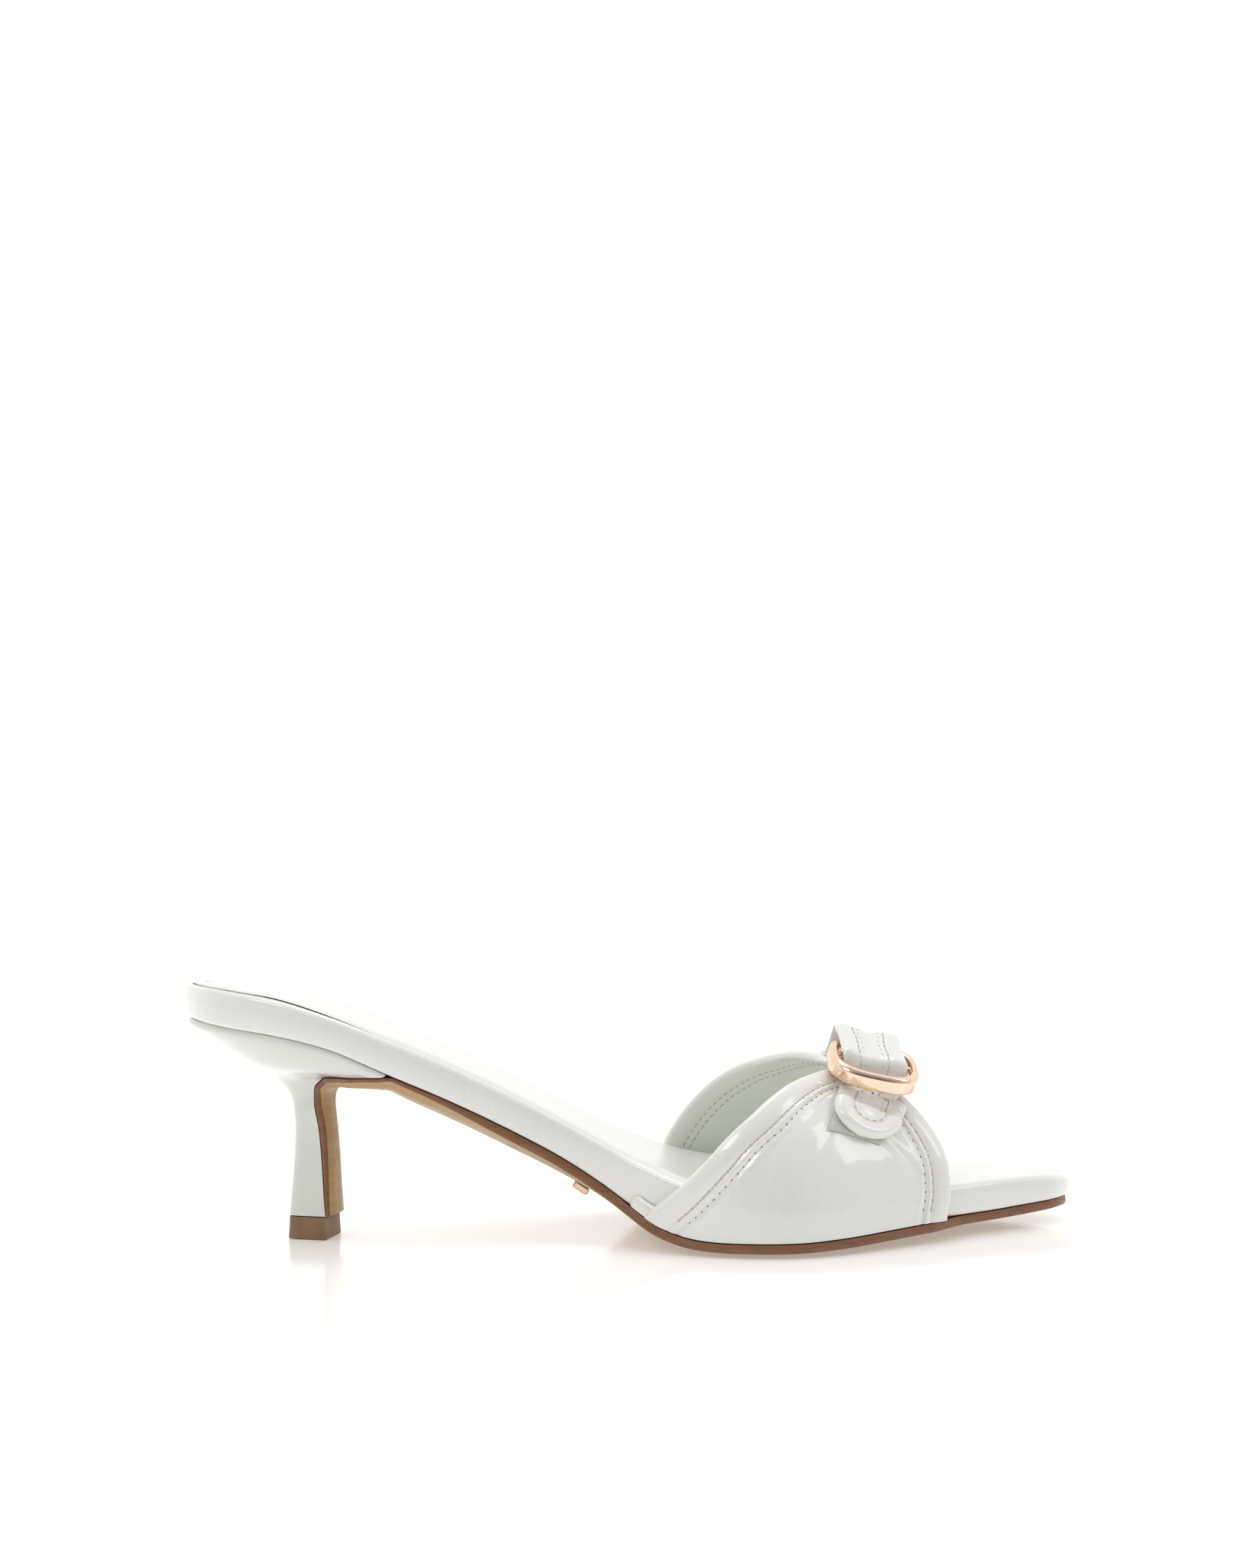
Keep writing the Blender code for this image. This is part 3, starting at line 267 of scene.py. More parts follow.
# Plan of the footbed. Each row: place along the length, the width that it
# follows, and as shares of that width, where its middle lies and half its width.
PLAN = (
    (0.000, SEAT_WIDTH, 0.020, 0.000),
    (0.013, SEAT_WIDTH, 0.018, 0.212),
    (0.035, SEAT_WIDTH, 0.015, 0.345),
    (0.070, SEAT_WIDTH, 0.008, 0.432),
    (0.123, SEAT_WIDTH, -0.008, 0.482),
    (0.184, SEAT_WIDTH, -0.020, 0.500),
    (0.245, SEAT_WIDTH, -0.016, 0.488),
    (0.307, WAIST_WIDTH, -0.006, 0.507),
    (0.373, WAIST_WIDTH, 0.013, 0.500),
    (0.439, WAIST_WIDTH, 0.026, 0.535),
    (0.491, BALL_WIDTH, 0.012, 0.354),
    (0.535, BALL_WIDTH, 0.000, 0.410),
    (0.579, BALL_WIDTH, -0.020, 0.462),
    (0.623, BALL_WIDTH, -0.033, 0.492),
    (0.662, BALL_WIDTH, -0.038, 0.500),
    (0.711, BALL_WIDTH, -0.030, 0.480),
    (0.763, BALL_WIDTH, -0.023, 0.422),
    (0.811, BALL_WIDTH, -0.020, 0.359),
    (0.855, BALL_WIDTH, -0.018, 0.304),
    (0.899, TOE_WIDTH, -0.035, 0.572),
    (0.925, TOE_WIDTH, -0.026, 0.500),
    (0.947, TOE_WIDTH, -0.028, 0.437),
    (0.969, TOE_WIDTH, -0.050, 0.345),
    (0.987, TOE_WIDTH, -0.068, 0.222),
    (1.000, TOE_WIDTH, -0.085, 0.000),
)

# Side view of the footbed. Each row: place along the length, height of its
# underside as a share of the heel's rise and of the toe's, and its thickness
# as a share of BED_THICK.
PROFILE = (
    (0.000, 1.000, 0.00, 0.98),
    (0.060, 0.951, 0.00, 1.07),
    (0.120, 0.907, 0.00, 1.05),
    (0.178, 0.842, 0.00, 0.95),
    (0.236, 0.731, 0.00, 1.00),
    (0.297, 0.614, 0.00, 1.03),
    (0.372, 0.455, 0.00, 1.03),
    (0.439, 0.297, 0.00, 1.07),
    (0.474, 0.200, 0.00, 1.18),
    (0.500, 0.120, 0.00, 1.33),
    (0.522, 0.060, 0.00, 1.47),
    (0.546, 0.021, 0.00, 1.46),
    (0.575, 0.003, 0.00, 1.32),
    (0.614, 0.000, 0.00, 1.13),
    (0.667, 0.000, 0.02, 1.00),
    (0.728, 0.000, 0.16, 0.93),
    (0.785, 0.000, 0.35, 0.90),
    (0.833, 0.000, 0.50, 0.88),
    (0.890, 0.000, 0.62, 0.87),
    (0.930, 0.000, 0.73, 0.82),
    (0.965, 0.000, 0.86, 0.72),
    (0.985, 0.000, 0.94, 0.61),
    (1.000, 0.000, 1.00, 0.48),
)

# Padding of the footbed's top along the length, as a share of BED_CROWN; the
# heel seat is a little hollow
PADDING = ((0.00, -0.60), (0.25, -0.50), (0.50, 0.00), (0.76, 0.00), (0.86, 1.00), (1.00, 1.00))

# Outsole's rounding underneath, as a share of SOLE_CROWN, along the length
CROWN = (
    (0.24, 0.80), (0.28, 0.95), (0.37, 0.95), (0.44, 0.80), (0.50, 0.45), (0.56, 0.28), (1.00, 0.28),
)

# Heel block from its seat down to the tip. Each row: height of its back and of
# its front, as shares of what lies between the tip and the seat just there; back
# as a share of TIP_SETBACK; front as a share of the tip's length, and of what the
# seat reaches beyond the tip; half width as shares of the seat's and the tip's;
# corner fullness; share of the twist; share of the seat's own bend; thickness of
# the sole on its front and rounding of that sole, as shares.
HEEL = (
    (1.000, 1.000, 0.05, 1.00, 0.985, 0.975, 0.00, 2.7, 0.0, 1.0, 1.00, 0.80),
    (0.977, 0.985, 0.04, 1.00, 0.960, 0.980, 0.00, 2.7, 0.0, 1.0, 1.00, 0.66),
    (0.911, 0.935, 0.29, 1.00, 0.740, 0.935, 0.00, 2.7, 0.0, 0.8, 1.00, 0.48),
    (0.826, 0.873, 0.59, 1.00, 0.440, 0.775, 0.00, 2.8, 0.1, 0.4, 0.98, 0.34),
    (0.773, 0.832, 0.79, 1.00, 0.180, 0.520, 0.05, 3.0, 0.3, 0.1, 0.95, 0.28),
    (0.722, 0.795, 0.92, 0.95, 0.000, 0.310, 0.24, 3.4, 0.6, 0.0, 0.92, 0.28),
    (0.657, 0.731, 1.00, 0.74, 0.000, 0.080, 0.92, 4.0, 0.8, 0.0, 0.88, 0.36),
    (0.578, 0.634, 1.03, 0.70, 0.000, 0.000, 0.98, 4.5, 1.0, 0.0, 0.84, 0.28),
    (0.454, 0.482, 1.04, 0.79, 0.000, 0.000, 0.85, 5.0, 1.0, 0.0, 0.80, 0.24),
    (0.300, 0.317, 1.03, 0.86, 0.000, 0.000, 0.88, 5.5, 1.0, 0.0, 0.70, 0.22),
    (0.148, 0.156, 1.01, 0.91, 0.000, 0.000, 0.94, 6.0, 1.0, 0.0, 0.58, 0.20),
    (0.000, 0.000, 0.99, 0.97, 0.000, 0.000, 1.00, 6.5, 1.0, 0.0, 0.46, 0.16),
)

# Edges of the upper. Each row: place across it, from its outer base (-1) over
# the top (0) to its inner base (1), and how far its back and front edges have
# gone from the narrow top (0) to the base (1).
EDGES = (
    (-1.00, 1.000, 1.00),
    (-0.90, 0.845, 1.13),
    (-0.80, 0.710, 1.15),
    (-0.70, 0.592, 1.09),
    (-0.60, 0.472, 0.93),
    (-0.50, 0.366, 0.71),
    (-0.40, 0.256, 0.44),
    (-0.30, 0.128, 0.18),
    (-0.22, 0.030, 0.06),
    (-0.10, 0.000, 0.00),
    (0.00, 0.015, 0.00),
    (0.17, 0.150, 0.10),
    (0.29, 0.240, 0.28),
    (0.48, 0.443, 0.68),
    (0.68, 0.655, 0.96),
    (0.83, 0.796, 1.00),
    (1.00, 0.920, 0.98),
)

# Strap's height over the upper, from the buckle's centre: share of the buckle's
# half width, + to its inner side, and share of the way up onto the bar. The strap
# dives under the outer side of the buckle and passes over its inner side.
HUMP = (
    (-0.58, 0.00), (-0.50, 0.04), (-0.42, 0.22), (-0.32, 0.56), (-0.22, 0.86), (-0.12, 0.99),
    (0.00, 1.00), (0.90, 1.00), (1.00, 0.94), (1.12, 0.70), (1.26, 0.38), (1.42, 0.13), (1.60, 0.00),
)


def smooth(xs, ys, x):
    """A smooth curve through the points (xs, ys) that never overshoots them."""
    xs, ys, x = (np.asarray(value, float) for value in (xs, ys, x))
    step = np.diff(xs)
    rise = np.diff(ys) / step
    slope = np.concatenate(([rise[0]], np.zeros(len(rise) - 1), [rise[-1]]))
    if len(rise) > 1:
        inner = (rise[:-1] * step[1:] + rise[1:] * step[:-1]) / (step[1:] + step[:-1])
        limit = 3.0 * np.minimum(np.abs(rise[:-1]), np.abs(rise[1:]))
        same = rise[:-1] * rise[1:] > 0.0
        slope[1:-1] = np.where(same, np.clip(inner, -limit, limit), 0.0)
    k = np.clip(np.searchsorted(xs, x, side="right") - 1, 0, len(step) - 1)
    t = np.clip((x - xs[k]) / step[k], 0.0, 1.0)
    return (ys[k] * (1 + 2 * t) * (1 - t) ** 2 + ys[k + 1] * t * t * (3 - 2 * t)
            + step[k] * (slope[k] * t * (1 - t) ** 2 - slope[k + 1] * t * t * (1 - t)))


def ease(t):
    """0 to 1 with soft ends."""
    t = np.clip(t, 0.0, 1.0)
    return t * t * (3 - 2 * t)


def column(table, index):
    return np.array([row[index] for row in table], float)


def turn_of(x):
    """Angle that spreads the places along the length evenly round the plan."""
    return np.arccos(np.clip(1 - 2 * np.asarray(x, float) / LENGTH, -1, 1))


def bed_centre(x):
    return smooth(turn_of(column(PLAN, 0) * LENGTH), column(PLAN, 1) * column(PLAN, 2), turn_of(x))


def bed_half(x):
    return smooth(turn_of(column(PLAN, 0) * LENGTH), column(PLAN, 1) * column(PLAN, 3), turn_of(x))


def bed_low(x):
    """Underside of the footbed, which is flat from side to side."""
    floor = EDGE_LIFT + SOLE_THICK + GAP
    place = np.asarray(x, float) / LENGTH
    rise = smooth(column(PROFILE, 0), column(PROFILE, 1), place) * (SEAT_HEIGHT - floor)
    spring = smooth(column(PROFILE, 0), column(PROFILE, 2), place) * TOE_SPRING
    return floor + rise + spring


def bed_top(x, across=0.0):
    """Top of the footbed; across is -1 to 1 from its outer to its inner edge."""
    place = np.asarray(x, float) / LENGTH
    thick = smooth(column(PROFILE, 0), column(PROFILE, 3), place) * BED_THICK
    crown = smooth(column(PADDING, 0), column(PADDING, 1), place) * BED_CROWN
    return bed_low(x) + thick + crown * (1 - np.asarray(across) ** 2)


def plan_ring(inset, stop=LENGTH):
    """Points round the footbed's plan, moved inwards by inset.

    They run from the heel along the outer side, then from the toe back along the
    inner side. With a stop short of the toe the ring ends in a straight line."""
    turns = np.linspace(0.0, math.pi, SIDE_STEPS + 1)
    x = LENGTH * (1 - np.cos(turns[turns <= turn_of(stop)])) / 2
    outer = np.column_stack((x, bed_centre(x) - bed_half(x)))
    inner = np.column_stack((x, bed_centre(x) + bed_half(x)))[::-1]
    ring = np.vstack((outer, inner[0 if stop < LENGTH else 1:-1]))
    ahead = np.roll(ring, -1, axis=0) - np.roll(ring, 1, axis=0)
    ahead /= np.linalg.norm(ahead, axis=1)[:, None]
    return ring + inset * np.column_stack((-ahead[:, 1], ahead[:, 0]))


def with_height(ring, height):
    return np.column_stack((ring, height))


def add_object(name, data):
    thing = bpy.data.objects.new(name, data)
    bpy.context.scene.collection.objects.link(thing)
    return thing


class Shape:
    """Collects vertices and faces, and makes one smooth object of them."""

    def __init__(self):
        self.mesh = bmesh.new()
        self.slot = 0

    def row(self, points):
        return [self.mesh.verts.new([float(value) for value in point]) for point in points]

    def face(self, *verts):
        distinct = list(dict.fromkeys(verts))
        if len(distinct) > 2:
            self.mesh.faces.new(distinct).material_index = self.slot

    def bridge(self, first, second, closed=True, slots=None):
        count = len(first)
        for k in range(count if closed else count - 1):
            n = (k + 1) % count
            self.slot = slots[k] if slots else self.slot
            self.face(first[k], first[n], second[n], second[k])

    def loft(self, rings, closed=True, slots=None):
        rows = [self.row(ring) for ring in rings]
        for first, second in zip(rows, rows[1:]):
            self.bridge(first, second, closed, slots)
        return rows

    def tube(self, rings, closed=True, slots=None):
        """A loft with one flat face over each end."""
        rows = self.loft(rings, closed, slots)
        for row in (rows[0], rows[-1]):
            self.face(*row)

    def cap(self, ring, pairs, height=None, columns=()):
        """Closes a ring by rows that join its points pair by pair."""
        rows = []
        for number, (one, two) in enumerate(pairs):
            row = [ring[one]]
            if one != two:
                a, b = ring[one].co, ring[two].co
                for t in columns if 0 < number < len(pairs) - 1 else ():
                    point = a.lerp(b, t)
                    if height:
                        point.z = height(point.x, 2 * t - 1)
                    row.append(self.mesh.verts.new(point))
                row.append(ring[two])
            rows.append(row)
        for first, second in zip(rows, rows[1:]):
            if len(first) != len(second):
                self.fan(first, second)
                continue
            for k in range(len(first) - 1):
                self.face(first[k], first[k + 1], second[k + 1], second[k])

    def fan(self, first, second):
        """Triangles from a short row to a long one beside it."""
        short, long = sorted((first, second), key=len)
        for k in range(len(long) - 1):
            self.face(short[0 if k < len(long) // 2 else -1], long[k], long[k + 1])
        if len(short) == 2:
            self.face(short[0], short[1], long[len(long) // 2])

    def finish(self, name, materials, angle=40.0, offset=OFFSET):
        bmesh.ops.translate(self.mesh, verts=self.mesh.verts, vec=Vector(offset))
        bmesh.ops.recalc_face_normals(self.mesh, faces=self.mesh.faces)
        if self.mesh.calc_volume(signed=True) < 0.0:
            bmesh.ops.reverse_faces(self.mesh, faces=self.mesh.faces)
        data = bpy.data.meshes.new(name)
        self.mesh.to_mesh(data)
        self.mesh.free()
        data.shade_smooth()
        data.set_sharp_from_angle(angle=math.radians(angle))
        thing = add_object(name, data)
        for material in materials:
            data.materials.append(material)
        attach(thing, "root")
        return thing


class Finish:
    """A procedural material: one shader, with noises that vary it."""

    def __init__(self, name, colour, roughness, **sockets):
        self.material = bpy.data.materials.new(name)
        self.material.use_nodes = True
        self.material.diffuse_color = (*colour, 1.0)
        self.tree = self.material.node_tree
        self.shader = self.tree.nodes["Principled BSDF"]
        self.shader.inputs["Base Color"].default_value = (*colour, 1.0)
        self.shader.inputs["Roughness"].default_value = roughness
        for socket, value in sockets.items():
            self.shader.inputs[socket.replace("_", " ")].default_value = value
        self.place = self.tree.nodes.new("ShaderNodeTexCoord").outputs["Object"]
        self.height = None

    def noise(self, scale, detail=3.0, roughness=0.55, stretch=(1.0, 1.0, 1.0)):
        place = self.tree.nodes.new("ShaderNodeMapping")
        place.inputs["Scale"].default_value = stretch
        self.tree.links.new(self.place, place.inputs["Vector"])
        node = self.tree.nodes.new("ShaderNodeTexNoise")
        node.inputs["Scale"].default_value = scale
        node.inputs["Detail"].default_value = detail
        node.inputs["Roughness"].default_value = roughness
        self.tree.links.new(place.outputs["Vector"], node.inputs["Vector"])
        return node.outputs["Fac"]

    def spread(self, value, low, high, out_low, out_high):
        """Takes a value between low and high to one between out_low and out_high."""
        node = self.tree.nodes.new("ShaderNodeMapRange")
        limits = (("From Min", low), ("From Max", high), ("To Min", out_low), ("To Max", out_high))
        for name, number in limits:
            node.inputs[name].default_value = number
        self.tree.links.new(value, node.inputs["Value"])
        return node.outputs["Result"]

    def tint(self, value, first, second):
        node = self.tree.nodes.new("ShaderNodeMix")
        node.data_type = "RGBA"
        node.inputs["A"].default_value = (*first, 1.0)
        node.inputs["B"].default_value = (*second, 1.0)
        self.tree.links.new(value, node.inputs["Factor"])
        self.tree.links.new(node.outputs["Result"], self.shader.inputs["Base Color"])
        return self

    def gloss(self, value):
        self.tree.links.new(value, self.shader.inputs["Roughness"])
        return self

    def bump(self, value, distance, strength=1.0, coat=False):
        node = self.tree.nodes.new("ShaderNodeBump")
        node.inputs["Strength"].default_value = strength
        node.inputs["Distance"].default_value = distance
        self.tree.links.new(value, node.inputs["Height"])
        if self.height:
            self.tree.links.new(self.height, node.inputs["Normal"])
        self.height = node.outputs["Normal"]
        self.tree.links.new(self.height, self.shader.inputs["Normal"])
        if coat:
            self.tree.links.new(self.height, self.shader.inputs["Coat Normal"])
        return self


def patent(name, colour, roughness=0.24, grain=0.00002):
    """White patent leather: clear gloss over a soft white, never quite flat."""
    low = tuple(value * 0.985 for value in colour)
    made = Finish(name, colour, roughness, Coat_Weight=1.0, Coat_Roughness=0.05, Coat_IOR=1.55)
    made.tint(made.spread(made.noise(38.0), 0.35, 0.65, 0.0, 1.0), colour, low)
    made.gloss(made.spread(made.noise(160.0), 0.3, 0.7, roughness - 0.06, roughness + 0.08))
    made.bump(made.noise(60.0, 2.0), 0.00016, coat=True)
    made.bump(made.noise(620.0, 2.0), grain, coat=True)
    made.bump(made.noise(2600.0, 2.0), grain * 0.3)
    return made.material


WHITE = patent("patent_white", (0.835, 0.83, 0.79))
RAND_WHITE = patent("rand_white", (0.84, 0.835, 0.795), 0.28, 0.000012)
# The heel's cover is the same white patent as the upper; its darker colour is painted shade, toned down against
# the bright light under the heel's flare.
HEEL_WHITE_SHADED = patent("heel_white_painted_shade", (0.73, 0.73, 0.69), 0.36, 0.000012)


def dressed(name, colour, roughness, pattern, tints, bumps, gloss=None, **sockets):
    """One finish: a pattern between two tints, rises of the surface and a varied gloss."""
    made = Finish(name, colour, roughness, **sockets)
    if tints:
        made.tint(made.spread(made.noise(*pattern[2:]), *pattern[:2], 0.0, 1.0), *tints)
    if gloss:
        made.gloss(made.spread(made.noise(*gloss[2:]), 0.3, 0.7, *gloss[:2]))
    for distance, *noise in bumps:
        made.bump(made.noise(*noise), distance)
    return made.material


# For each finish: name, colour, roughness; the pattern's two limits and its noise; the two
# tints; each rise's distance and noise; least and most roughness and the noise between them
LINING = dressed(
    "lining_pale", (0.80, 0.83, 0.76), 0.42, (0.3, 0.7, 55.0),
    ((0.81, 0.835, 0.765), (0.77, 0.80, 0.73)),
    ((0.00003, 900.0, 3.0), (0.00010, 120.0, 2.0)), Coat_Weight=0.25, Coat_Roughness=0.3)
SOCK = dressed(
    "sock_pale", (0.80, 0.81, 0.78), 0.30, (0.3, 0.7, 30.0), ((0.82, 0.825, 0.79), (0.79, 0.80, 0.76)),
    ((0.00003, 700.0, 3.0), (0.00016, 60.0, 2.0)), Coat_Weight=0.5, Coat_Roughness=0.16)
SOLE_TAN = dressed(
    "sole_tan", (0.50, 0.34, 0.17), 0.5, (0.3, 0.7, 90.0, 4.0, 0.6, SOLE_STREAK),
    ((0.50, 0.34, 0.17), (0.42, 0.27, 0.12)), ((0.00003, 1500.0, 3.0),), (0.40, 0.62, 260.0),
    Coat_Weight=0.15, Coat_Roughness=0.3)
SOLE_EDGE = dressed(
    "sole_edge", (0.25, 0.105, 0.042), 0.5, (0.3, 0.7, 140.0, 4.0, 0.6, SOLE_STREAK),
    ((0.25, 0.105, 0.042), (0.18, 0.070, 0.026)), ((0.00003, 1500.0, 3.0),), (0.40, 0.62, 260.0),
    Coat_Weight=0.15, Coat_Roughness=0.3)
METAL = dressed(
    "rose_gold", (0.90, 0.66, 0.49), 0.10, None, None,
    ((0.00002, 180.0, 2.0), (0.000004, 3000.0, 3.0)), (0.06, 0.15, 500.0, 4.0), Metallic=1.0)
# Cream thread, its own colour, also toned darker than cream as painted shade so the rows of stitches read as
# dark dashes.
THREAD_CREAM_SHADED = dressed(
    "thread_cream_and_shade", (0.62, 0.57, 0.47), 0.55, (0.35, 0.65, 1800.0),
    ((0.66, 0.61, 0.51), (0.46, 0.41, 0.32)), ((0.00004, 5200.0, 2.0),), Sheen_Weight=0.3)
# Nearly black beads: painted shade in the needle holes, in the gaps between stitches and in the strap's punched
# hole.
PINHOLE_SHADE = dressed(
    "pinhole_painted_shade", (0.10, 0.085, 0.07), 0.8, (0.0, 1.0, 900.0),
    ((0.035, 0.03, 0.025), (0.10, 0.085, 0.07)), ())
RUBBER = dressed(
    "rubber_brown", (0.19, 0.12, 0.075), 0.5, (0.3, 0.7, 240.0, 5.0),
    ((0.29, 0.165, 0.085), (0.22, 0.120, 0.058)),
    ((0.00005, 1100.0, 4.0), (0.00012, 140.0)), (0.38, 0.6, 90.0))
FELT = dressed(
    "felt_cream", (0.60, 0.60, 0.54), 0.9, (0.3, 0.7, 700.0, 4.0),
    ((0.63, 0.63, 0.57), (0.52, 0.52, 0.45)),
    ((0.00010, 2400.0, 4.0),), Sheen_Weight=0.4)


def sole_half(x):
    """Half width of the outsole: inside the footbed, but out under the upper's wall."""
    beside = ease((x - VAMP_BACK) / SOLE_SWELL + 0.6) * ease((VAMP_FRONT - x) / SOLE_SWELL + 0.6)
    ahead = np.minimum(x + SOLE_INSET * ease(4 * x / LENGTH - 3), LENGTH)
    reach = GAP + UPPER_EASE + WALL + GAP
    return bed_half(ahead) - SOLE_INSET * (1 - beside) * 0.6 + reach * beside


def heel_turn(point, share):
    """Turns a point about the heel tip's middle by a share of the heel's twist."""
    angle = math.radians(HEEL_TWIST * share)
    middle = TIP_SETBACK + TIP_LENGTH / 2
    x, y = point[0] - middle, point[1] - HEEL_SHIFT
    return np.array((middle + x * math.cos(angle) - y * math.sin(angle),
                     HEEL_SHIFT + x * math.sin(angle) + y * math.cos(angle), point[2]))


def heel_ends(row):
    """Back and front of one row of the heel, as x and z on its middle line."""
    floor = TIP_HEIGHT + GAP
    back = TIP_SETBACK * row[2]
    front = TIP_SETBACK + TIP_LENGTH * row[3] + (SEAT_LENGTH - TIP_SETBACK - TIP_LENGTH) * row[4]
    heights = [floor + share * (float(bed_low(x)) - GAP - floor) for share, x in zip(row, (back, front))]
    return back, heights[0], front, heights[1]


def heel_halves(row):
    """Half widths of one row of the heel at its front and its back."""
    front = row[5] * SEAT_WIDTH / 2 + row[6] * TIP_WIDTH / 2
    back = row[5] * SEAT_WIDTH / 2 + row[6] * TIP_WIDTH / 2 * TIP_TAPER
    return front, back


def heel_ring(row, inset=0.0):
    """Outline of the heel at one row, from its front's outer corner round the back."""
    back_x, back_z, front_x, front_z = heel_ends(row)
    half_front, half_back = heel_halves(row)
    fullness, twist, bend = row[7:10]
    points = []
    for turn in np.linspace(-1.0, 1.0, 2 * ROUND_STEPS + 1):
        depth = abs(math.cos(math.pi * turn / 2)) ** (2 / fullness)
        side = math.copysign(abs(math.sin(math.pi * turn / 2)) ** (2 / fullness), turn)
        if abs(turn) == 1.0:
            depth = 0.0
        x = front_x + (back_x - front_x) * depth + inset * depth
        chord_x = min(max(x, back_x), front_x)
        half = half_front + (half_back - half_front) * depth - inset
        share = (chord_x - back_x) / (front_x - back_x)
        z = back_z + (front_z - back_z) * share
        bow = float(bed_low(chord_x))
        bow -= float(bed_low(back_x)) * (1 - share) + float(bed_low(front_x)) * share
        middle = bend * float(bed_centre(chord_x)) + (1 - bend) * HEEL_SHIFT
        points.append(heel_turn((x, middle + half * side, z + bow * bend), twist))
    return points


def heel_pairs(count):
    """Opposite points of a heel ring, from its front to its back."""
    return [(k, count - 1 - k) for k in range(count // 2)] + [(count // 2, count // 2)]


def arch(x, v):
    """Outer face of the upper's leather at a place along the shoe and across it."""
    x, v = np.broadcast_arrays(np.asarray(x, float), np.asarray(v, float))
    half = bed_half(x) + GAP + UPPER_EASE + WALL
    height = VAMP_HEIGHT + VAMP_SLOPE * (VAMP_TOP - x)
    angle = (1 - np.abs(v)) * math.pi / 2
    y = bed_centre(x) + np.sign(v) * half * np.cos(angle) ** (2 / VAMP_FULL)
    z = bed_low(x) + height * np.sin(angle) ** (2 / VAMP_FULL)
    return np.stack((x, y, z), axis=-1)


def arch_normal(x, v):
    """Outward direction of the upper there."""
    v = np.clip(v, -0.995, 0.995)
    along = arch(x + 0.0005, v) - arch(x - 0.0005, v)
    across = arch(x, v + 0.004) - arch(x, v - 0.004)
    normal = np.cross(along, across)
    return normal / np.linalg.norm(normal, axis=-1)[..., None]


def over_arch(x, v, lift):
    """A point at a height over the upper's leather."""
    return arch(x, v) + arch_normal(x, v) * np.asarray(lift, float)[..., None]


def across_at(x, reach):
    """Place across the upper that lies an arc's length from its top line, + inner."""
    v = np.linspace(-1.0, 1.0, 401)
    length = length_along(arch(x, v))
    return float(np.interp(reach, length - np.interp(0.0, v, length), v))


def edge_back(v):
    share = smooth(column(EDGES, 0), column(EDGES, 1), v)
    return VAMP_TOP - VAMP_NARROW / 2 + (VAMP_BACK - VAMP_TOP + VAMP_NARROW / 2) * share


def edge_front(v):
    share = smooth(column(EDGES, 0), column(EDGES, 2), v)
    return VAMP_TOP + VAMP_NARROW / 2 + (VAMP_FRONT - VAMP_TOP - VAMP_NARROW / 2) * share


def slant(edge, v):
    """How much wider a border measures along the shoe where the edge runs at a slant."""
    low, high = max(v - 0.02, -1.0), min(v + 0.02, 1.0)
    run = float(edge(high) - edge(low))
    arc = np.linalg.norm(arch(edge(v), high) - arch(edge(v), low))
    return min(math.hypot(1.0, run / arc), 2.2)


def border_width(edge, v):
    """Length of the border along the shoe; less where the upper is too narrow for it."""
    return min(BIND_WIDTH * slant(edge, v), BORDER_MOST * float(edge_front(v) - edge_back(v)))


def border_rise(x, v):
    """Height of the raised border over the leather; none inside it, full beyond it."""
    from_back = float(x - edge_back(v)) / border_width(edge_back, v)
    from_front = float(edge_front(v) - x) / border_width(edge_front, v)
    depth = min(from_back, from_front)
    full = BORDER[2][0]
    return BIND_RISE * max(float(smooth(column(BORDER, 0), column(BORDER, 1), max(depth, full))), 0.0)


def ring_lift():
    """Height of the buckle's middle over the upper's leather."""
    return GAP + BIND_RISE + STRAP_THICK * STRAP_PRESS + GAP + RING_TALL / 2 + RING_EASE


@functools.lru_cache(maxsize=None)
def ring_frame():
    """Buckle's centre and its directions along the shoe, across it and outwards."""
    x = VAMP_TOP + RING_AHEAD
    v = across_at(x, -RING_SHIFT)
    fall, lean = math.radians(RING_FALL), math.radians(RING_LEAN)
    along = np.array((math.cos(fall), 0.0, -math.sin(fall)))
    sideways = np.array((0.0, math.cos(lean), math.sin(lean)))
    outward = np.cross(along, sideways)
    outward /= np.linalg.norm(outward)
    sideways = np.cross(outward, along)
    return arch(x, v) + arch_normal(x, v) * ring_lift(), along, sideways, outward


def ring_height(a, s):
    """Height of the buckle's middle plane over the upper, at a along it and s across."""
    centre, along, sideways, outward = ring_frame()
    x = VAMP_TOP + RING_AHEAD + a
    v = across_at(x, s - RING_SHIFT)
    return float(np.dot(centre - arch(x, v), outward) / np.dot(arch_normal(x, v), outward))


def hump(s):
    """Share of the way up onto the bar and the buckle's inner side."""
    reach = min(max(s / (RING_WIDE / 2), HUMP[0][0]), HUMP[-1][0])
    return float(smooth(column(HUMP, 0), column(HUMP, 1), reach))


def strap_lift(s, a):
    """Height of the strap's underside over the upper, s and a from the buckle's centre."""
    share = hump(s)
    x = VAMP_TOP + RING_AHEAD + a
    lift = GAP + border_rise(x, across_at(x, s - RING_SHIFT))
    if share > 0.0:
        bar = BAR_RISE + BAR_RADIUS
        over = bar + (RING_TALL / 2 - bar) * float(ease(2 * s / RING_WIDE))
        lift += (ring_height(a, s) + over) * share
    on_patch = float(ease((-s - RING_WIDE / 2) / PATCH_STEP))
    return lift + (PATCH_THICK + GAP) * on_patch


def strap_press(s):
    """Share of the strap's thickness; it is pressed thinner on its way through the buckle."""
    near = (abs(s) - RING_WIDE / 2) * (PRESS_INNER if s > 0.0 else 1.0)
    return 1 - (1 - STRAP_PRESS) * float(1 - ease((near - PRESS_REACH) / PRESS_EASE))


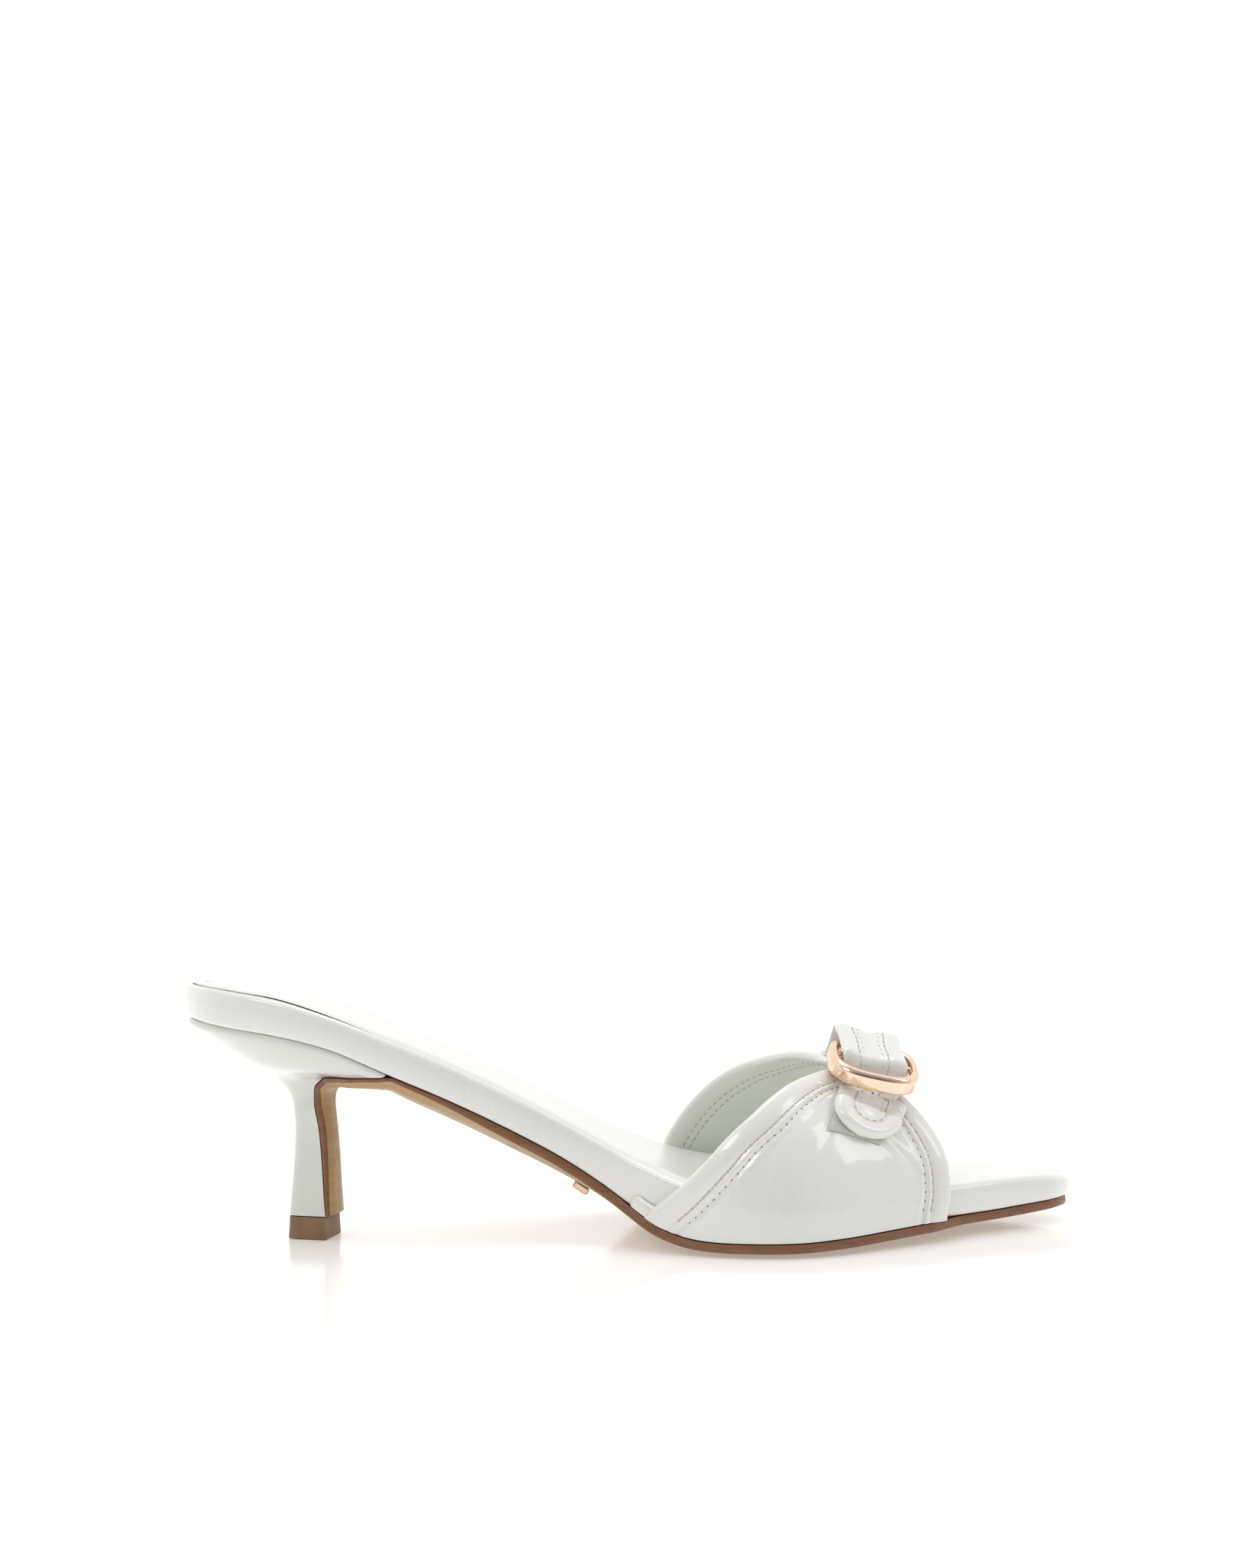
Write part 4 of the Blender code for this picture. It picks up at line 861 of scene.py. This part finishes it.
def strap_half(s):
    """Half the strap's width; it is drawn in a little where it passes through the ring."""
    inside = RING_WIDE / 2 - RING_RIM
    share = abs(s) / inside
    through = float(1 - ease((share - 0.80) / 0.14 if s < 0.0 else share))
    room = (RING_LONG / 2 - RING_RIM) * max(1 - (abs(s) / inside) ** RING_FULL, 0.0) ** (1 / RING_FULL)
    return STRAP_WIDTH / 2 - max(STRAP_WIDTH / 2 + 4 * GAP - room, 0.0) * through


def length_along(points):
    """Length of the path through the points, up to each of them."""
    return np.concatenate(([0.0], np.cumsum(np.linalg.norm(np.diff(points, axis=0), axis=1))))


def row_at(table, place):
    """One row of a table, at a place between two of its rows."""
    numbers = np.arange(len(table))
    return tuple(float(smooth(numbers, column(table, index), place)) for index in range(len(table[0])))


def ring_pairs(count):
    """Opposite points of a ring that starts at one end of the plan."""
    return [(k, (count - k) % count) for k in range(count // 2 + 1)]


def bed_ring(inset, height, stop=LENGTH):
    """Ring round the footbed's plan at a height that depends on its low and top."""
    ring = plan_ring(inset, stop)
    x = np.clip(ring[:, 0], 0.0, LENGTH)
    return with_height(ring, height(bed_low(x), bed_top(x, 1.0)))


def build_footbed():
    """Board wrapped in leather: a slightly full side wall and a rounded upper edge."""
    rings = [bed_ring(inset, lambda low, top: low + share * (top - low)) for inset, share in BED_WALL]
    for turn in np.linspace(0.0, math.pi / 2, 8):
        drop = BED_ROUND * (1 - math.sin(turn))
        rings.append(bed_ring(BED_ROUND * (1 - math.cos(turn)), lambda low, top: top - drop))
    shape = Shape()
    rows = shape.loft(rings)
    pairs = ring_pairs(len(rows[0]))
    shape.cap(rows[0], pairs, columns=(0.5,))
    shape.cap(rows[-1], pairs, bed_top, BED_COLUMNS)
    piece = shape.finish("footbed_wrap", (RAND_WHITE,))
    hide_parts("footbed")


def build_sock():
    """Thin cover glued on the footbed, with a soft cut edge that gapes a little at the heel."""
    rings = []
    for inset, share in SOCK_EDGE:
        ring = plan_ring(SOCK_INSET + inset, SOCK_LENGTH)
        x = np.clip(ring[:, 0], 0.0, LENGTH)
        base = GAP * (1 - ease((x - SOCK_GAPE) / 0.02))
        rings.append(with_height(ring, bed_top(x, 1.0) + base + share * (GAP + SOCK_THICK - base)))
    shape = Shape()
    rows = shape.loft(rings)
    pairs = ring_pairs(len(rows[0]))
    shape.cap(rows[0], pairs, lambda x, across: bed_top(x, across) + GAP, BED_COLUMNS)
    shape.cap(rows[-1], pairs, lambda x, across: bed_top(x, across) + GAP + SOCK_THICK, BED_COLUMNS)
    piece = shape.finish("sock_cover", (SOCK,))
    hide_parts("sock")


def build_heel():
    """Covered block under the seat, drawn in to a slender waist, with a rolled rim."""
    rings = []
    for turn in np.linspace(0.0, math.pi / 2, 5)[:-1]:
        ring = np.array(heel_ring(HEEL[0], inset=LIP_ROUND * (1 - math.sin(turn))))
        ring[:, 2] += GAP * 0.6 - LIP_ROUND * (1 - math.cos(turn))
        rings.append(ring)
    rings += [heel_ring(row_at(HEEL, place)) for place in np.linspace(0.55, len(HEEL) - 1, HEEL_STEPS)]
    shape = Shape()
    rows = shape.loft(rings)
    pairs = heel_pairs(len(rows[0]))
    shape.cap(rows[0], pairs, lambda x, across: float(bed_low(x)) - GAP * 0.4, (0.25, 0.5, 0.75))
    shape.cap(rows[-1], pairs)
    # Its finish is the white patent made darker as painted shade.
    piece = shape.finish("heel_cover", (HEEL_WHITE_SHADED,))
    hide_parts("heel")


def build_heel_tip():
    """Hard rubber piece that the heel stands on, a little wider at the floor."""
    top = np.array(heel_ring(HEEL[-1]))
    out = top - top.mean(axis=0)
    out[:, 2] = 0.0
    out /= np.linalg.norm(out, axis=1)[:, None]
    rings = []
    for share, spread in ((1.0, -0.0001), (0.97, 0.0), (0.5, 0.0001), (0.05, 0.0003), (0.0, 0.0001)):
        ring = top + out * spread
        ring[:, 2] = TIP_HEIGHT * share
        rings.append(ring)
    shape = Shape()
    rows = shape.loft(rings)
    pairs = heel_pairs(len(rows[0]))
    shape.cap(rows[0], pairs)
    shape.cap(rows[-1], pairs)
    piece = shape.finish("heel_top_piece", (RUBBER,))
    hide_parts("heel_tip")


def sole_stations():
    """Middle, sideways direction, half width, thickness and rounding along the outsole."""
    tip, join = LENGTH - SOLE_END, SEAT_LENGTH + SOLE_JOIN
    turns = np.linspace(float(turn_of(tip)), float(turn_of(RIB_TO)), 24)[:-1]
    places = list(LENGTH * (1 - np.cos(turns)) / 2)
    places += list(np.linspace(RIB_TO, RIB_FROM, int((RIB_TO - RIB_FROM) / RIB_STEP)))
    places += list(np.linspace(RIB_FROM, join, 80)[1:])
    stations = []
    for x in places:
        crown = SOLE_CROWN * float(smooth(column(CROWN, 0), column(CROWN, 1), x / LENGTH))
        middle = (x, float(bed_centre(x)), float(bed_low(x)) - GAP)
        stations.append((middle, (0.0, 1.0, 0.0), float(sole_half(x)), SOLE_THICK, crown))
    for place in np.linspace(1.0, len(HEEL) - 1, HEEL_STEPS):
        row = row_at(HEEL, place)
        x, z = heel_ends(row)[2:]
        side = row[9] * float(bed_centre(x)) + (1 - row[9]) * HEEL_SHIFT
        middle = heel_turn((x, side, z), row[8])
        across = heel_turn((x, side + 1.0, z), row[8]) - middle
        half = heel_halves(row)[0]
        stations.append((middle, across, half, SOLE_THICK * row[10], SOLE_CROWN * row[11]))
    return stations


def tread(x, y, t):
    """Share of the full depth of the grooves under the forefoot."""
    wave = 0.5 + 0.5 * np.cos(2 * math.pi * (x + RIB_BOW * y * y) / RIB_PITCH)
    ends = float(ease((x - RIB_FROM) / RIB_FADE) * ease((RIB_TO - x) / RIB_FADE))
    return ease((wave - 0.60) / 0.28) * ease((0.93 - np.abs(t)) / 0.06) * ends


def build_outsole():
    """One sheet from the toe over the ball and the waist, then down the heel's front."""
    stations = sole_stations()
    middles = np.array([station[0] for station in stations])
    along = np.gradient(middles, axis=0)
    top = np.array((-1.0, -0.5, 0.0, 0.5, 1.0))
    under = np.sin(np.linspace(1.0, -1.0, 37) * 1.40) / math.sin(1.40) * 0.985
    sections = []
    travelled = length_along(middles)
    travelled /= travelled[-1]
    for (middle, across, half, thick, crown), way, station in zip(stations, along, travelled):
        across = np.array(across)
        inward = np.cross(across, way)
        inward /= np.linalg.norm(inward)
        seat = float(ease((SEAT_LENGTH + SOLE_JOIN - middle[0]) / (2 * SOLE_JOIN)))
        middle = np.array(middle) - inward * GAP * seat
        depth = thick + crown * np.minimum((1 - under ** 2) / (1 - SOLE_FLAT ** 2), 1.0)
        depth -= RIB_DEPTH * tread(middle[0], under * half, under)
        painted = float(smooth(column(PAINTED, 0), column(PAINTED, 1), station))
        depth -= thick * (1 - painted) * (1 - ease((1 - np.abs(under)) / 0.16))
        side = [(half + out * painted, share * thick * painted) for out, share in SOLE_RIM]
        points = [(t * half, 0.0) for t in top] + side
        points += list(zip(under * (half - 0.0001), depth)) + [(-out, down) for out, down in side[::-1]]
        sections.append([middle + across * out - inward * down for out, down in points])
    slots = [1] * (len(top) + len(SOLE_RIM)) + [0] * (len(under) - 1) + [1] * (len(SOLE_RIM) + 1)
    shape = Shape()
    shape.tube(sections, slots=slots)
    piece = shape.finish("outsole_leather", (SOLE_TAN, SOLE_EDGE), angle=50.0)
    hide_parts("outsole")


def crease_height(x, v):
    """Soft troughs of the leather, each with a low ridge on both sides."""
    height = np.zeros(np.shape(x))
    for place, across, direction, length, width, depth in CREASES:
        turn = math.radians(direction)
        ahead, aside = x - place, (v - across) * ARC_LENGTH
        along = (ahead * math.cos(turn) + aside * math.sin(turn)) / (length / 2)
        beside = (aside * math.cos(turn) - ahead * math.sin(turn)) / width
        height -= depth * (1 - beside ** 2) * np.exp(-(beside ** 2 + along ** 2) / 2)
    return height


def seam_scale(edge, v):
    """Distance along the shoe for each unit of distance from an edge."""
    return border_width(edge, v) / BIND_WIDTH


def arc_of_edge(edge):
    """Places across the upper, and the length of its edge up to each of them."""
    v = np.linspace(-1.0, 1.0, 801)
    return v, length_along(arch(edge(v), v))


def upper_section(v, arcs):
    """Closed section through the wall: outside from back to front, then inside back again."""
    back, front = float(edge_back(v)), float(edge_front(v))
    wide_back, wide_front = seam_scale(edge_back, v), seam_scale(edge_front, v)
    fold, level = (BIND_RISE + WALL) / 2, (BIND_RISE - WALL) / 2
    rim = np.linspace(math.pi, math.pi / 2, 7)[:-1]
    depth = np.concatenate((fold * (1 + np.cos(rim)), column(FINE_BORDER, 0)))
    rise = np.concatenate((level + fold * np.sin(rim), column(FINE_BORDER, 1)))
    first, last = back + depth * wide_back, front - depth[::-1] * wide_front
    x = np.concatenate((first, np.linspace(first[-1], last[0], PANEL_STEPS + 1)[1:-1], last))
    lift = np.concatenate((rise, np.zeros(PANEL_STEPS - 1), rise[::-1]))
    lift += crease_height(x, v) * ease(((x - back) / wide_back - SEAM_INNER) / 0.002) \
        * ease(((front - x) / wide_front - SEAM_INNER) / 0.002)
    for distance, (places, length) in zip(((x - back) / wide_back, (front - x) / wide_front), arcs):
        wave = math.cos(2 * math.pi * float(np.interp(v, places, length)) / PUCKER_PITCH)
        lift += PUCKER * wave * np.exp(-((distance - SEAM_INNER - 0.0012) / 0.0011) ** 2)
    outside = over_arch(x, v, lift)
    under = -rim[1:] + 2 * math.pi
    inner = np.concatenate((fold * (1 + np.cos(under)), column(INNER_BORDER, 0)))
    drop = np.concatenate((level + fold * np.sin(under), column(INNER_BORDER, 1) - WALL))
    first, last = front - inner * wide_front, back + inner[::-1] * wide_back
    middle = np.linspace(first[-1], last[0], PANEL_STEPS // 3)[1:-1]
    x = np.concatenate((first, middle, last))
    lift = np.concatenate((drop, crease_height(middle, v) * 0.8 - WALL, drop[::-1]))
    section = np.vstack((outside, over_arch(x, v, lift)))
    section[:, 2] = np.maximum(section[:, 2], bed_low(section[:, 0]))
    rolled = len(under) + 2
    lined = len(x) - 2 * rolled
    return section, [0] * (len(outside) + rolled) + [1] * lined + [0] * rolled


def build_upper():
    """Vamp of one wall, folded and sewn along both edges, with its leather softly creased."""
    arcs = (arc_of_edge(edge_back), arc_of_edge(edge_front))
    made = [upper_section(v, arcs) for v in np.linspace(-1.0, 1.0, ARCH_STEPS + 1)]
    shape = Shape()
    shape.tube([section for section, slots in made], slots=made[0][1])
    piece = shape.finish("vamp", (WHITE, LINING), angle=60.0)
    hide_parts("upper")


def spots_along(points, pitch, length, first):
    """Spots at an even pitch along a path, and the start and end of a stitch at each."""
    arc = length_along(points)
    spots = np.arange(first * pitch, arc[-1] - pitch, pitch)
    ends = [np.column_stack([np.interp(spots + step, arc, points[:, axis]) for axis in range(3)])
            for step in (-length / 2, length / 2)]
    return arc, spots, ends


def upper_seam(edge, ahead, distance, lift, pitch, length, first=1.0):
    """Starts, ends and outward directions of the stitches along one edge of the upper."""
    v = np.linspace(-0.985, 0.985, 700)
    x = edge(v) + ahead * distance * np.array([seam_scale(edge, value) for value in v])
    points = over_arch(x, v, np.full(len(v), lift))
    arc, spots, (starts, ends) = spots_along(points, pitch, length, first)
    places = np.interp(spots, arc, v)
    return starts, ends, arch_normal(np.interp(places, v, x), places)


def beads(name, seams, radius, body, material):
    """One object of many small rounded bodies, each from a start to an end."""
    sides = 7
    turns = 2 * math.pi * np.arange(sides) / sides
    corners, faces = [], []
    for starts, ends, normals in seams:
        for start, end, normal in zip(starts, ends, normals):
            aside = np.cross(end - start, normal)
            aside /= np.linalg.norm(aside)
            base = len(corners)
            for share, fat, rise in body:
                middle = start + (end - start) * share + normal * rise * radius
                corners += [middle + (aside * math.cos(turn) + normal * math.sin(turn)) * radius * fat
                            for turn in turns]
            for ring in range(len(body) - 1):
                for k in range(sides):
                    n = (k + 1) % sides
                    low = base + ring * sides
                    faces.append((low + k, low + n, low + sides + n, low + sides + k))
            faces.append(tuple(base + k for k in range(sides))[::-1])
            faces.append(tuple(base + (len(body) - 1) * sides + k for k in range(sides)))
    data = bpy.data.meshes.new(name)
    data.from_pydata([tuple(corner + OFFSET) for corner in corners], [], faces)
    data.shade_smooth()
    data.materials.append(material)
    piece = add_object(name, data)
    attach(piece, "root")
    return piece


def stitches(name, seams):
    return beads(name, seams, THREAD, STITCH_BODY, THREAD_CREAM_SHADED)


# Dark beads that paint the shade inside holes.
def pinholes(name, seams, radius):
    return beads(name, seams, radius, PIN_BODY, PINHOLE_SHADE)


def sew_upper():
    def both(*sizes):
        return [upper_seam(edge, ahead, *sizes) for edge, ahead in ((edge_back, 1.0), (edge_front, -1.0))]

    stitches("vamp_stitches", both(SEAM_OUTER, SEAM_LIFT, STITCH_PITCH, STITCH_LENGTH))
    # Dark beads of painted shade at the inner row's needle holes and in the gaps between the outer row's
    # stitches.
    holes = both(SEAM_INNER, -SEAM_SINK, PIN_PITCH, PIN_LENGTH)
    holes += both(SEAM_OUTER, SEAM_LIFT, STITCH_PITCH, PIN_LENGTH, 1.5)
    pinholes("vamp_pinhole_shade", holes, PIN_RADIUS)
    lined = both(SEAM_OUTER, LINING_LIFT - WALL, STITCH_PITCH, STITCH_LENGTH)
    lined += both(SEAM_INNER, LINING_LIFT - WALL, STITCH_PITCH, STITCH_LENGTH)
    stitches("lining_stitches", [(starts, ends, -out) for starts, ends, out in lined])


def build_lobe():
    """Folded end of the vamp's lining, which shows behind its lower back corner."""
    places = np.linspace(0.0, 1.0, 15)
    heights = np.linspace(0.0, 1.0, 11)
    shape = Shape()
    rows = []
    for out in (1.0, 0.0):
        for up in heights:
            reach = LOBE_LONG * math.sqrt(max(1 - (0.97 * up) ** 2, 0.0))
            x = VAMP_BACK + LOBE_COVER - (LOBE_COVER + reach) * places
            thin = np.sqrt(np.clip(1 - places ** 4, 0.0, 1.0)) * math.sqrt(1 - (0.95 * up) ** 4)
            y = bed_centre(x) - bed_half(x) - GAP - LOBE_THICK * thin * out
            rows.append(shape.row(np.column_stack((x, y, bed_low(x) + LOBE_TALL * up))))
    outer, inner = rows[:len(heights)], rows[len(heights):]
    for layer in (outer, inner):
        for first, second in zip(layer, layer[1:]):
            shape.bridge(first, second, closed=False)
    rim = [[layer[0][k] for k in range(15)] + [row[-1] for row in layer[1:]]
           + layer[-1][-2::-1] + [row[0] for row in layer[-2:0:-1]] for layer in (outer, inner)]
    shape.bridge(rim[0], rim[1])
    piece = shape.finish("vamp_lobe", (WHITE,), angle=50.0)


def pad(distance):
    """Strap's thickness at a distance from its outline."""
    full = STRAP_THICK
    return float(smooth(column(PAD, 0), column(PAD, 1) * full, min(distance, PAD[-1][0])))


def strap_middle(s):
    """Place along the shoe of the strap's middle line."""
    middle = VAMP_TOP + RING_AHEAD * float(ease((STRAP_START - s) / (STRAP_START * 0.8)))
    return middle - STRAP_LEAN * max(RING_RIM - RING_WIDE / 2 - s, 0.0) - HUMP_SHIFT * hump(s)


def strap_reach(s):
    """How far a place is into the round end, and half the strap's width there."""
    wide = STRAP_WIDTH / 2
    past = max(STRAP_END + wide - s, 0.0)
    return past, math.sqrt(max(wide * wide - past * past, 0.0)) if past > 0.0 else strap_half(s)


def strap_points(s, aside):
    """Underside and top of the strap at a distance from its middle line."""
    wide = STRAP_WIDTH / 2
    past, half = strap_reach(s)
    x = strap_middle(s) + aside
    v = across_at(x, s - RING_SHIFT)
    lift = strap_lift(s, x - VAMP_TOP - RING_AHEAD)
    end = wide - math.hypot(past, aside) if past > 0.0 else wide
    thin = (HEAD_THIN + (1 - HEAD_THIN) * float(ease((STRAP_START - s) / HEAD_TAPER))) * strap_press(s)
    thick = thin * pad(max(min(half - abs(aside), end), 0.0))
    inset = 0.16 * STRAP_THICK * float(ease(1 - (half - abs(aside)) / 0.0004))
    return over_arch(x, v, lift + min(inset, thick * 0.6)), over_arch(x, v, lift + thick)


def build_strap():
    """Padded strap over the top of the upper, through the buckle, to a round tab."""
    wide = STRAP_WIDTH / 2
    stops = list(np.linspace(STRAP_START, STRAP_END + wide, STRAP_STEPS))
    bends = np.linspace(0.0, math.radians(84.0), 26)[1:]
    stops += [STRAP_END + wide - wide * math.sin(bend) for bend in bends]
    shares = [1 - place / wide for place in STRAP_COLUMNS]
    spread = [-share for share in shares] + shares[-2::-1]
    sections = []
    for s in stops:
        half = strap_reach(s)[1]
        both = [strap_points(s, share * half) for share in spread]
        sections.append([top for low, top in both] + [low for low, top in both[::-1]])
    shape = Shape()
    shape.tube(sections)
    piece = shape.finish("padded_strap", (WHITE,), angle=60.0)
    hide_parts("strap")


def strap_seam(distance, pitch, length, first=1.0):
    """Stitches along the strap at a distance from its outline, round the end of the tab."""
    wide = STRAP_WIDTH / 2
    straight = np.linspace(STRAP_START - 0.001, STRAP_END + wide, 90)
    path = [(s, distance - strap_reach(s)[1]) for s in straight]
    path += [(STRAP_END + wide - (wide - distance) * math.sin(turn), -(wide - distance) * math.cos(turn))
             for turn in np.linspace(0.0, math.pi, 40)[1:-1]]
    path += [(s, strap_reach(s)[1] - distance) for s in straight[::-1]]
    both = [strap_points(s, aside) for s, aside in path]
    points = np.array([top for low, top in both])
    normals = np.array([top - low for low, top in both])
    normals /= np.linalg.norm(normals, axis=1)[:, None]
    arc, spots, (starts, ends) = spots_along(points, pitch, length, first)
    outward = np.column_stack([np.interp(spots, arc, normals[:, axis]) for axis in range(3)])
    return starts, ends, outward


def sew_strap():
    stitches("strap_stitches", [strap_seam(CHANNEL, STITCH_PITCH, STITCH_LENGTH)])
    # Dark beads of painted shade at the strap's needle holes and in the gaps between its stitches.
    holes = [strap_seam(CHANNEL_INNER, PIN_PITCH, PIN_LENGTH)]
    holes.append(strap_seam(CHANNEL, STITCH_PITCH, PIN_LENGTH, 1.5))
    pinholes("strap_pinhole_shade", holes, PIN_RADIUS)
    # The punched hole is a dark disc of painted shade.
    low, top = strap_points(HOLE_PLACE, 0.0)
    outward = (top - low) / np.linalg.norm(top - low)
    way = ring_frame()[1] * HOLE_RADIUS
    pinholes("strap_hole_shade", [([top - way], [top + way], [outward])], HOLE_RADIUS)


def build_buckle():
    """Polished oval ring with a rounded rim, and the bar that the strap passes over."""
    centre, along, sideways, outward = ring_frame()
    shape = Shape()
    rings = []
    for step in range(RING_STEPS):
        turn = 2 * math.pi * step / RING_STEPS
        c, s = math.cos(turn), math.sin(turn)
        full = (abs(c) ** RING_FULL + abs(s) ** RING_FULL) ** (-1 / RING_FULL)
        ring = []
        for out, up in RIM:
            a = (RING_LONG / 2 - RING_RIM * (1 - out)) * c * full
            b = (RING_WIDE / 2 - RING_RIM * (1 - out)) * s * full
            ring.append(centre + along * a + sideways * b + outward * up * RING_TALL)
        rings.append(ring)
    rows = shape.loft(rings)
    shape.bridge(rows[-1], rows[0])
    reach = RING_LONG / 2 - RING_RIM / 2
    circles = []
    for share in np.linspace(-1.0, 1.0, 9):
        middle = centre + outward * BAR_RISE + along * reach * share
        circles.append([middle + (sideways * math.cos(turn) + outward * math.sin(turn)) * BAR_RADIUS
                        for turn in np.linspace(0.0, 2 * math.pi, 16, endpoint=False)])
    shape.tube(circles)
    piece = shape.finish("buckle_ring", (METAL,), angle=60.0)
    smoothing = piece.modifiers.new("smooth", "SUBSURF")
    smoothing.levels = smoothing.render_levels = 1
    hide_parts("buckle")


def build_patch():
    """Thin square of felt between the strap's tab and the upper, with soft cut edges."""
    x = VAMP_TOP + RING_AHEAD - STRAP_LEAN * (RING_RIM + STRAP_TAIL) - PATCH_SIDE * 0.05
    reach = -RING_SHIFT - RING_WIDE / 2 - STRAP_TAIL - PATCH_OVER
    angle = math.radians(PATCH_TURN)
    long, deep = 27, 17
    layers = ([], [])
    for i in range(long):
        for j in range(deep):
            a, b = PATCH_SIDE * (i / (long - 1) - 0.5), PATCH_DEPTH * j / (deep - 1)
            px = x + a * math.cos(angle) + b * STRAP_LEAN
            v = across_at(px, reach + b - a * math.sin(angle))
            inside = min(PATCH_SIDE / 2 - abs(a), b, PATCH_DEPTH - b)
            soft = 0.55 + 0.45 * float(ease(inside / 0.0006))
            under = GAP + border_rise(px, v)
            for layer, lift in zip(layers, (under, under + PATCH_THICK * soft)):
                layer.append(over_arch(px, v, lift))
    shape = Shape()
    rows = [shape.row(layer) for layer in layers]
    border = [i * deep for i in range(long)] + [(long - 1) * deep + j for j in range(1, deep)]
    border += [i * deep + deep - 1 for i in range(long - 2, -1, -1)] + list(range(deep - 2, 0, -1))
    shape.bridge([rows[0][k] for k in border], [rows[1][k] for k in border])
    for row in rows:
        for i in range(long - 1):
            for j in range(deep - 1):
                corner = i * deep + j
                shape.face(row[corner], row[corner + 1], row[corner + deep + 1], row[corner + deep])
    piece = shape.finish("felt_patch", (FELT,))
    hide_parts("strap_patch")


def build_floor():
    """Plain pale floor, soft enough in its gloss for the shoe's reflection to fade."""
    made = Finish("floor_pale", (0.90, 0.90, 0.90), 0.16, Emission_Color=(1.0, 1.0, 1.0, 1.0),
                  Emission_Strength=FLOOR_GLOW)
    made.gloss(made.spread(made.noise(2.0), 0.3, 0.7, 0.10, 0.14))
    data = bpy.data.meshes.new("floor")
    signs = ((-1, -1), (1, -1), (1, 1), (-1, 1))
    corners = [(x * FLOOR_HALF, y * FLOOR_HALF, -FLOOR_DROP) for x, y in signs]
    data.from_pydata(corners, [], [(0, 1, 2, 3)])
    data.materials.append(made.material)
    floor = add_object("floor", data)


def build_light():
    """Soft studio light: an even pale room, a broad overhead panel and two side panels."""
    world = bpy.data.worlds.new("studio")
    world.use_nodes = True
    tree = world.node_tree
    place = tree.nodes.new("ShaderNodeSeparateXYZ")
    tree.links.new(tree.nodes.new("ShaderNodeTexCoord").outputs["Generated"], place.inputs[0])
    share = tree.nodes.new("ShaderNodeMapRange")
    share.inputs["From Min"].default_value = -1.0
    tree.links.new(place.outputs["Y"], share.inputs["Value"])
    ramp = tree.nodes.new("ShaderNodeValToRGB")
    ramp.color_ramp.interpolation = "EASE"
    while len(ramp.color_ramp.elements) < len(ROOM):
        ramp.color_ramp.elements.new(0.5)
    for element, (toward, level) in zip(ramp.color_ramp.elements, ROOM):
        element.position = (toward + 1) / 2
        element.color = (level, level, level, 1.0)
    tree.links.new(share.outputs["Result"], ramp.inputs["Fac"])
    tree.links.new(ramp.outputs["Color"], tree.nodes["Background"].inputs["Color"])
    tree.nodes["Background"].inputs["Strength"].default_value = ROOM_LIGHT
    bpy.context.scene.world = world
    for name, place, target, size, power in LAMPS:
        lamp = bpy.data.lights.new(name, "AREA")
        lamp.shape = "RECTANGLE"
        lamp.size, lamp.size_y = size
        lamp.energy = power
        thing = add_object(name, lamp)
        thing.location = place
        thing.rotation_euler = (Vector(target) - Vector(place)).to_track_quat("-Z", "Y").to_euler()
    bpy.context.scene.view_settings.view_transform = "Standard"


def build_camera():
    """Camera at the photo's place and angle, rolled a little."""
    data = bpy.data.cameras.new("camera")
    data.sensor_width = 36.0
    data.lens = CAMERA_LENS
    data.clip_start = 0.01
    camera = add_object("camera", data)
    turn = Matrix.Rotation(math.radians(-CAMERA_YAW), 4, "Z")
    turn = turn @ Matrix.Rotation(math.radians(90.0 + CAMERA_PITCH), 4, "X")
    turn = turn @ Matrix.Rotation(math.radians(-CAMERA_ROLL), 4, "Z")
    camera.matrix_world = Matrix.Translation(Vector(np.array(CAMERA_PLACE) + OFFSET)) @ turn
    bpy.context.scene.camera = camera


def main():
    build_footbed()
    build_sock()
    build_outsole()
    build_heel()
    build_heel_tip()
    build_upper()
    build_lobe()
    sew_upper()
    build_strap()
    sew_strap()
    build_buckle()
    build_patch()
    plate = bpy.data.objects["sole_plate"]
    plate.data.materials.clear()
    plate.data.materials.append(METAL)
    build_floor()
    build_light()
    build_camera()


main()
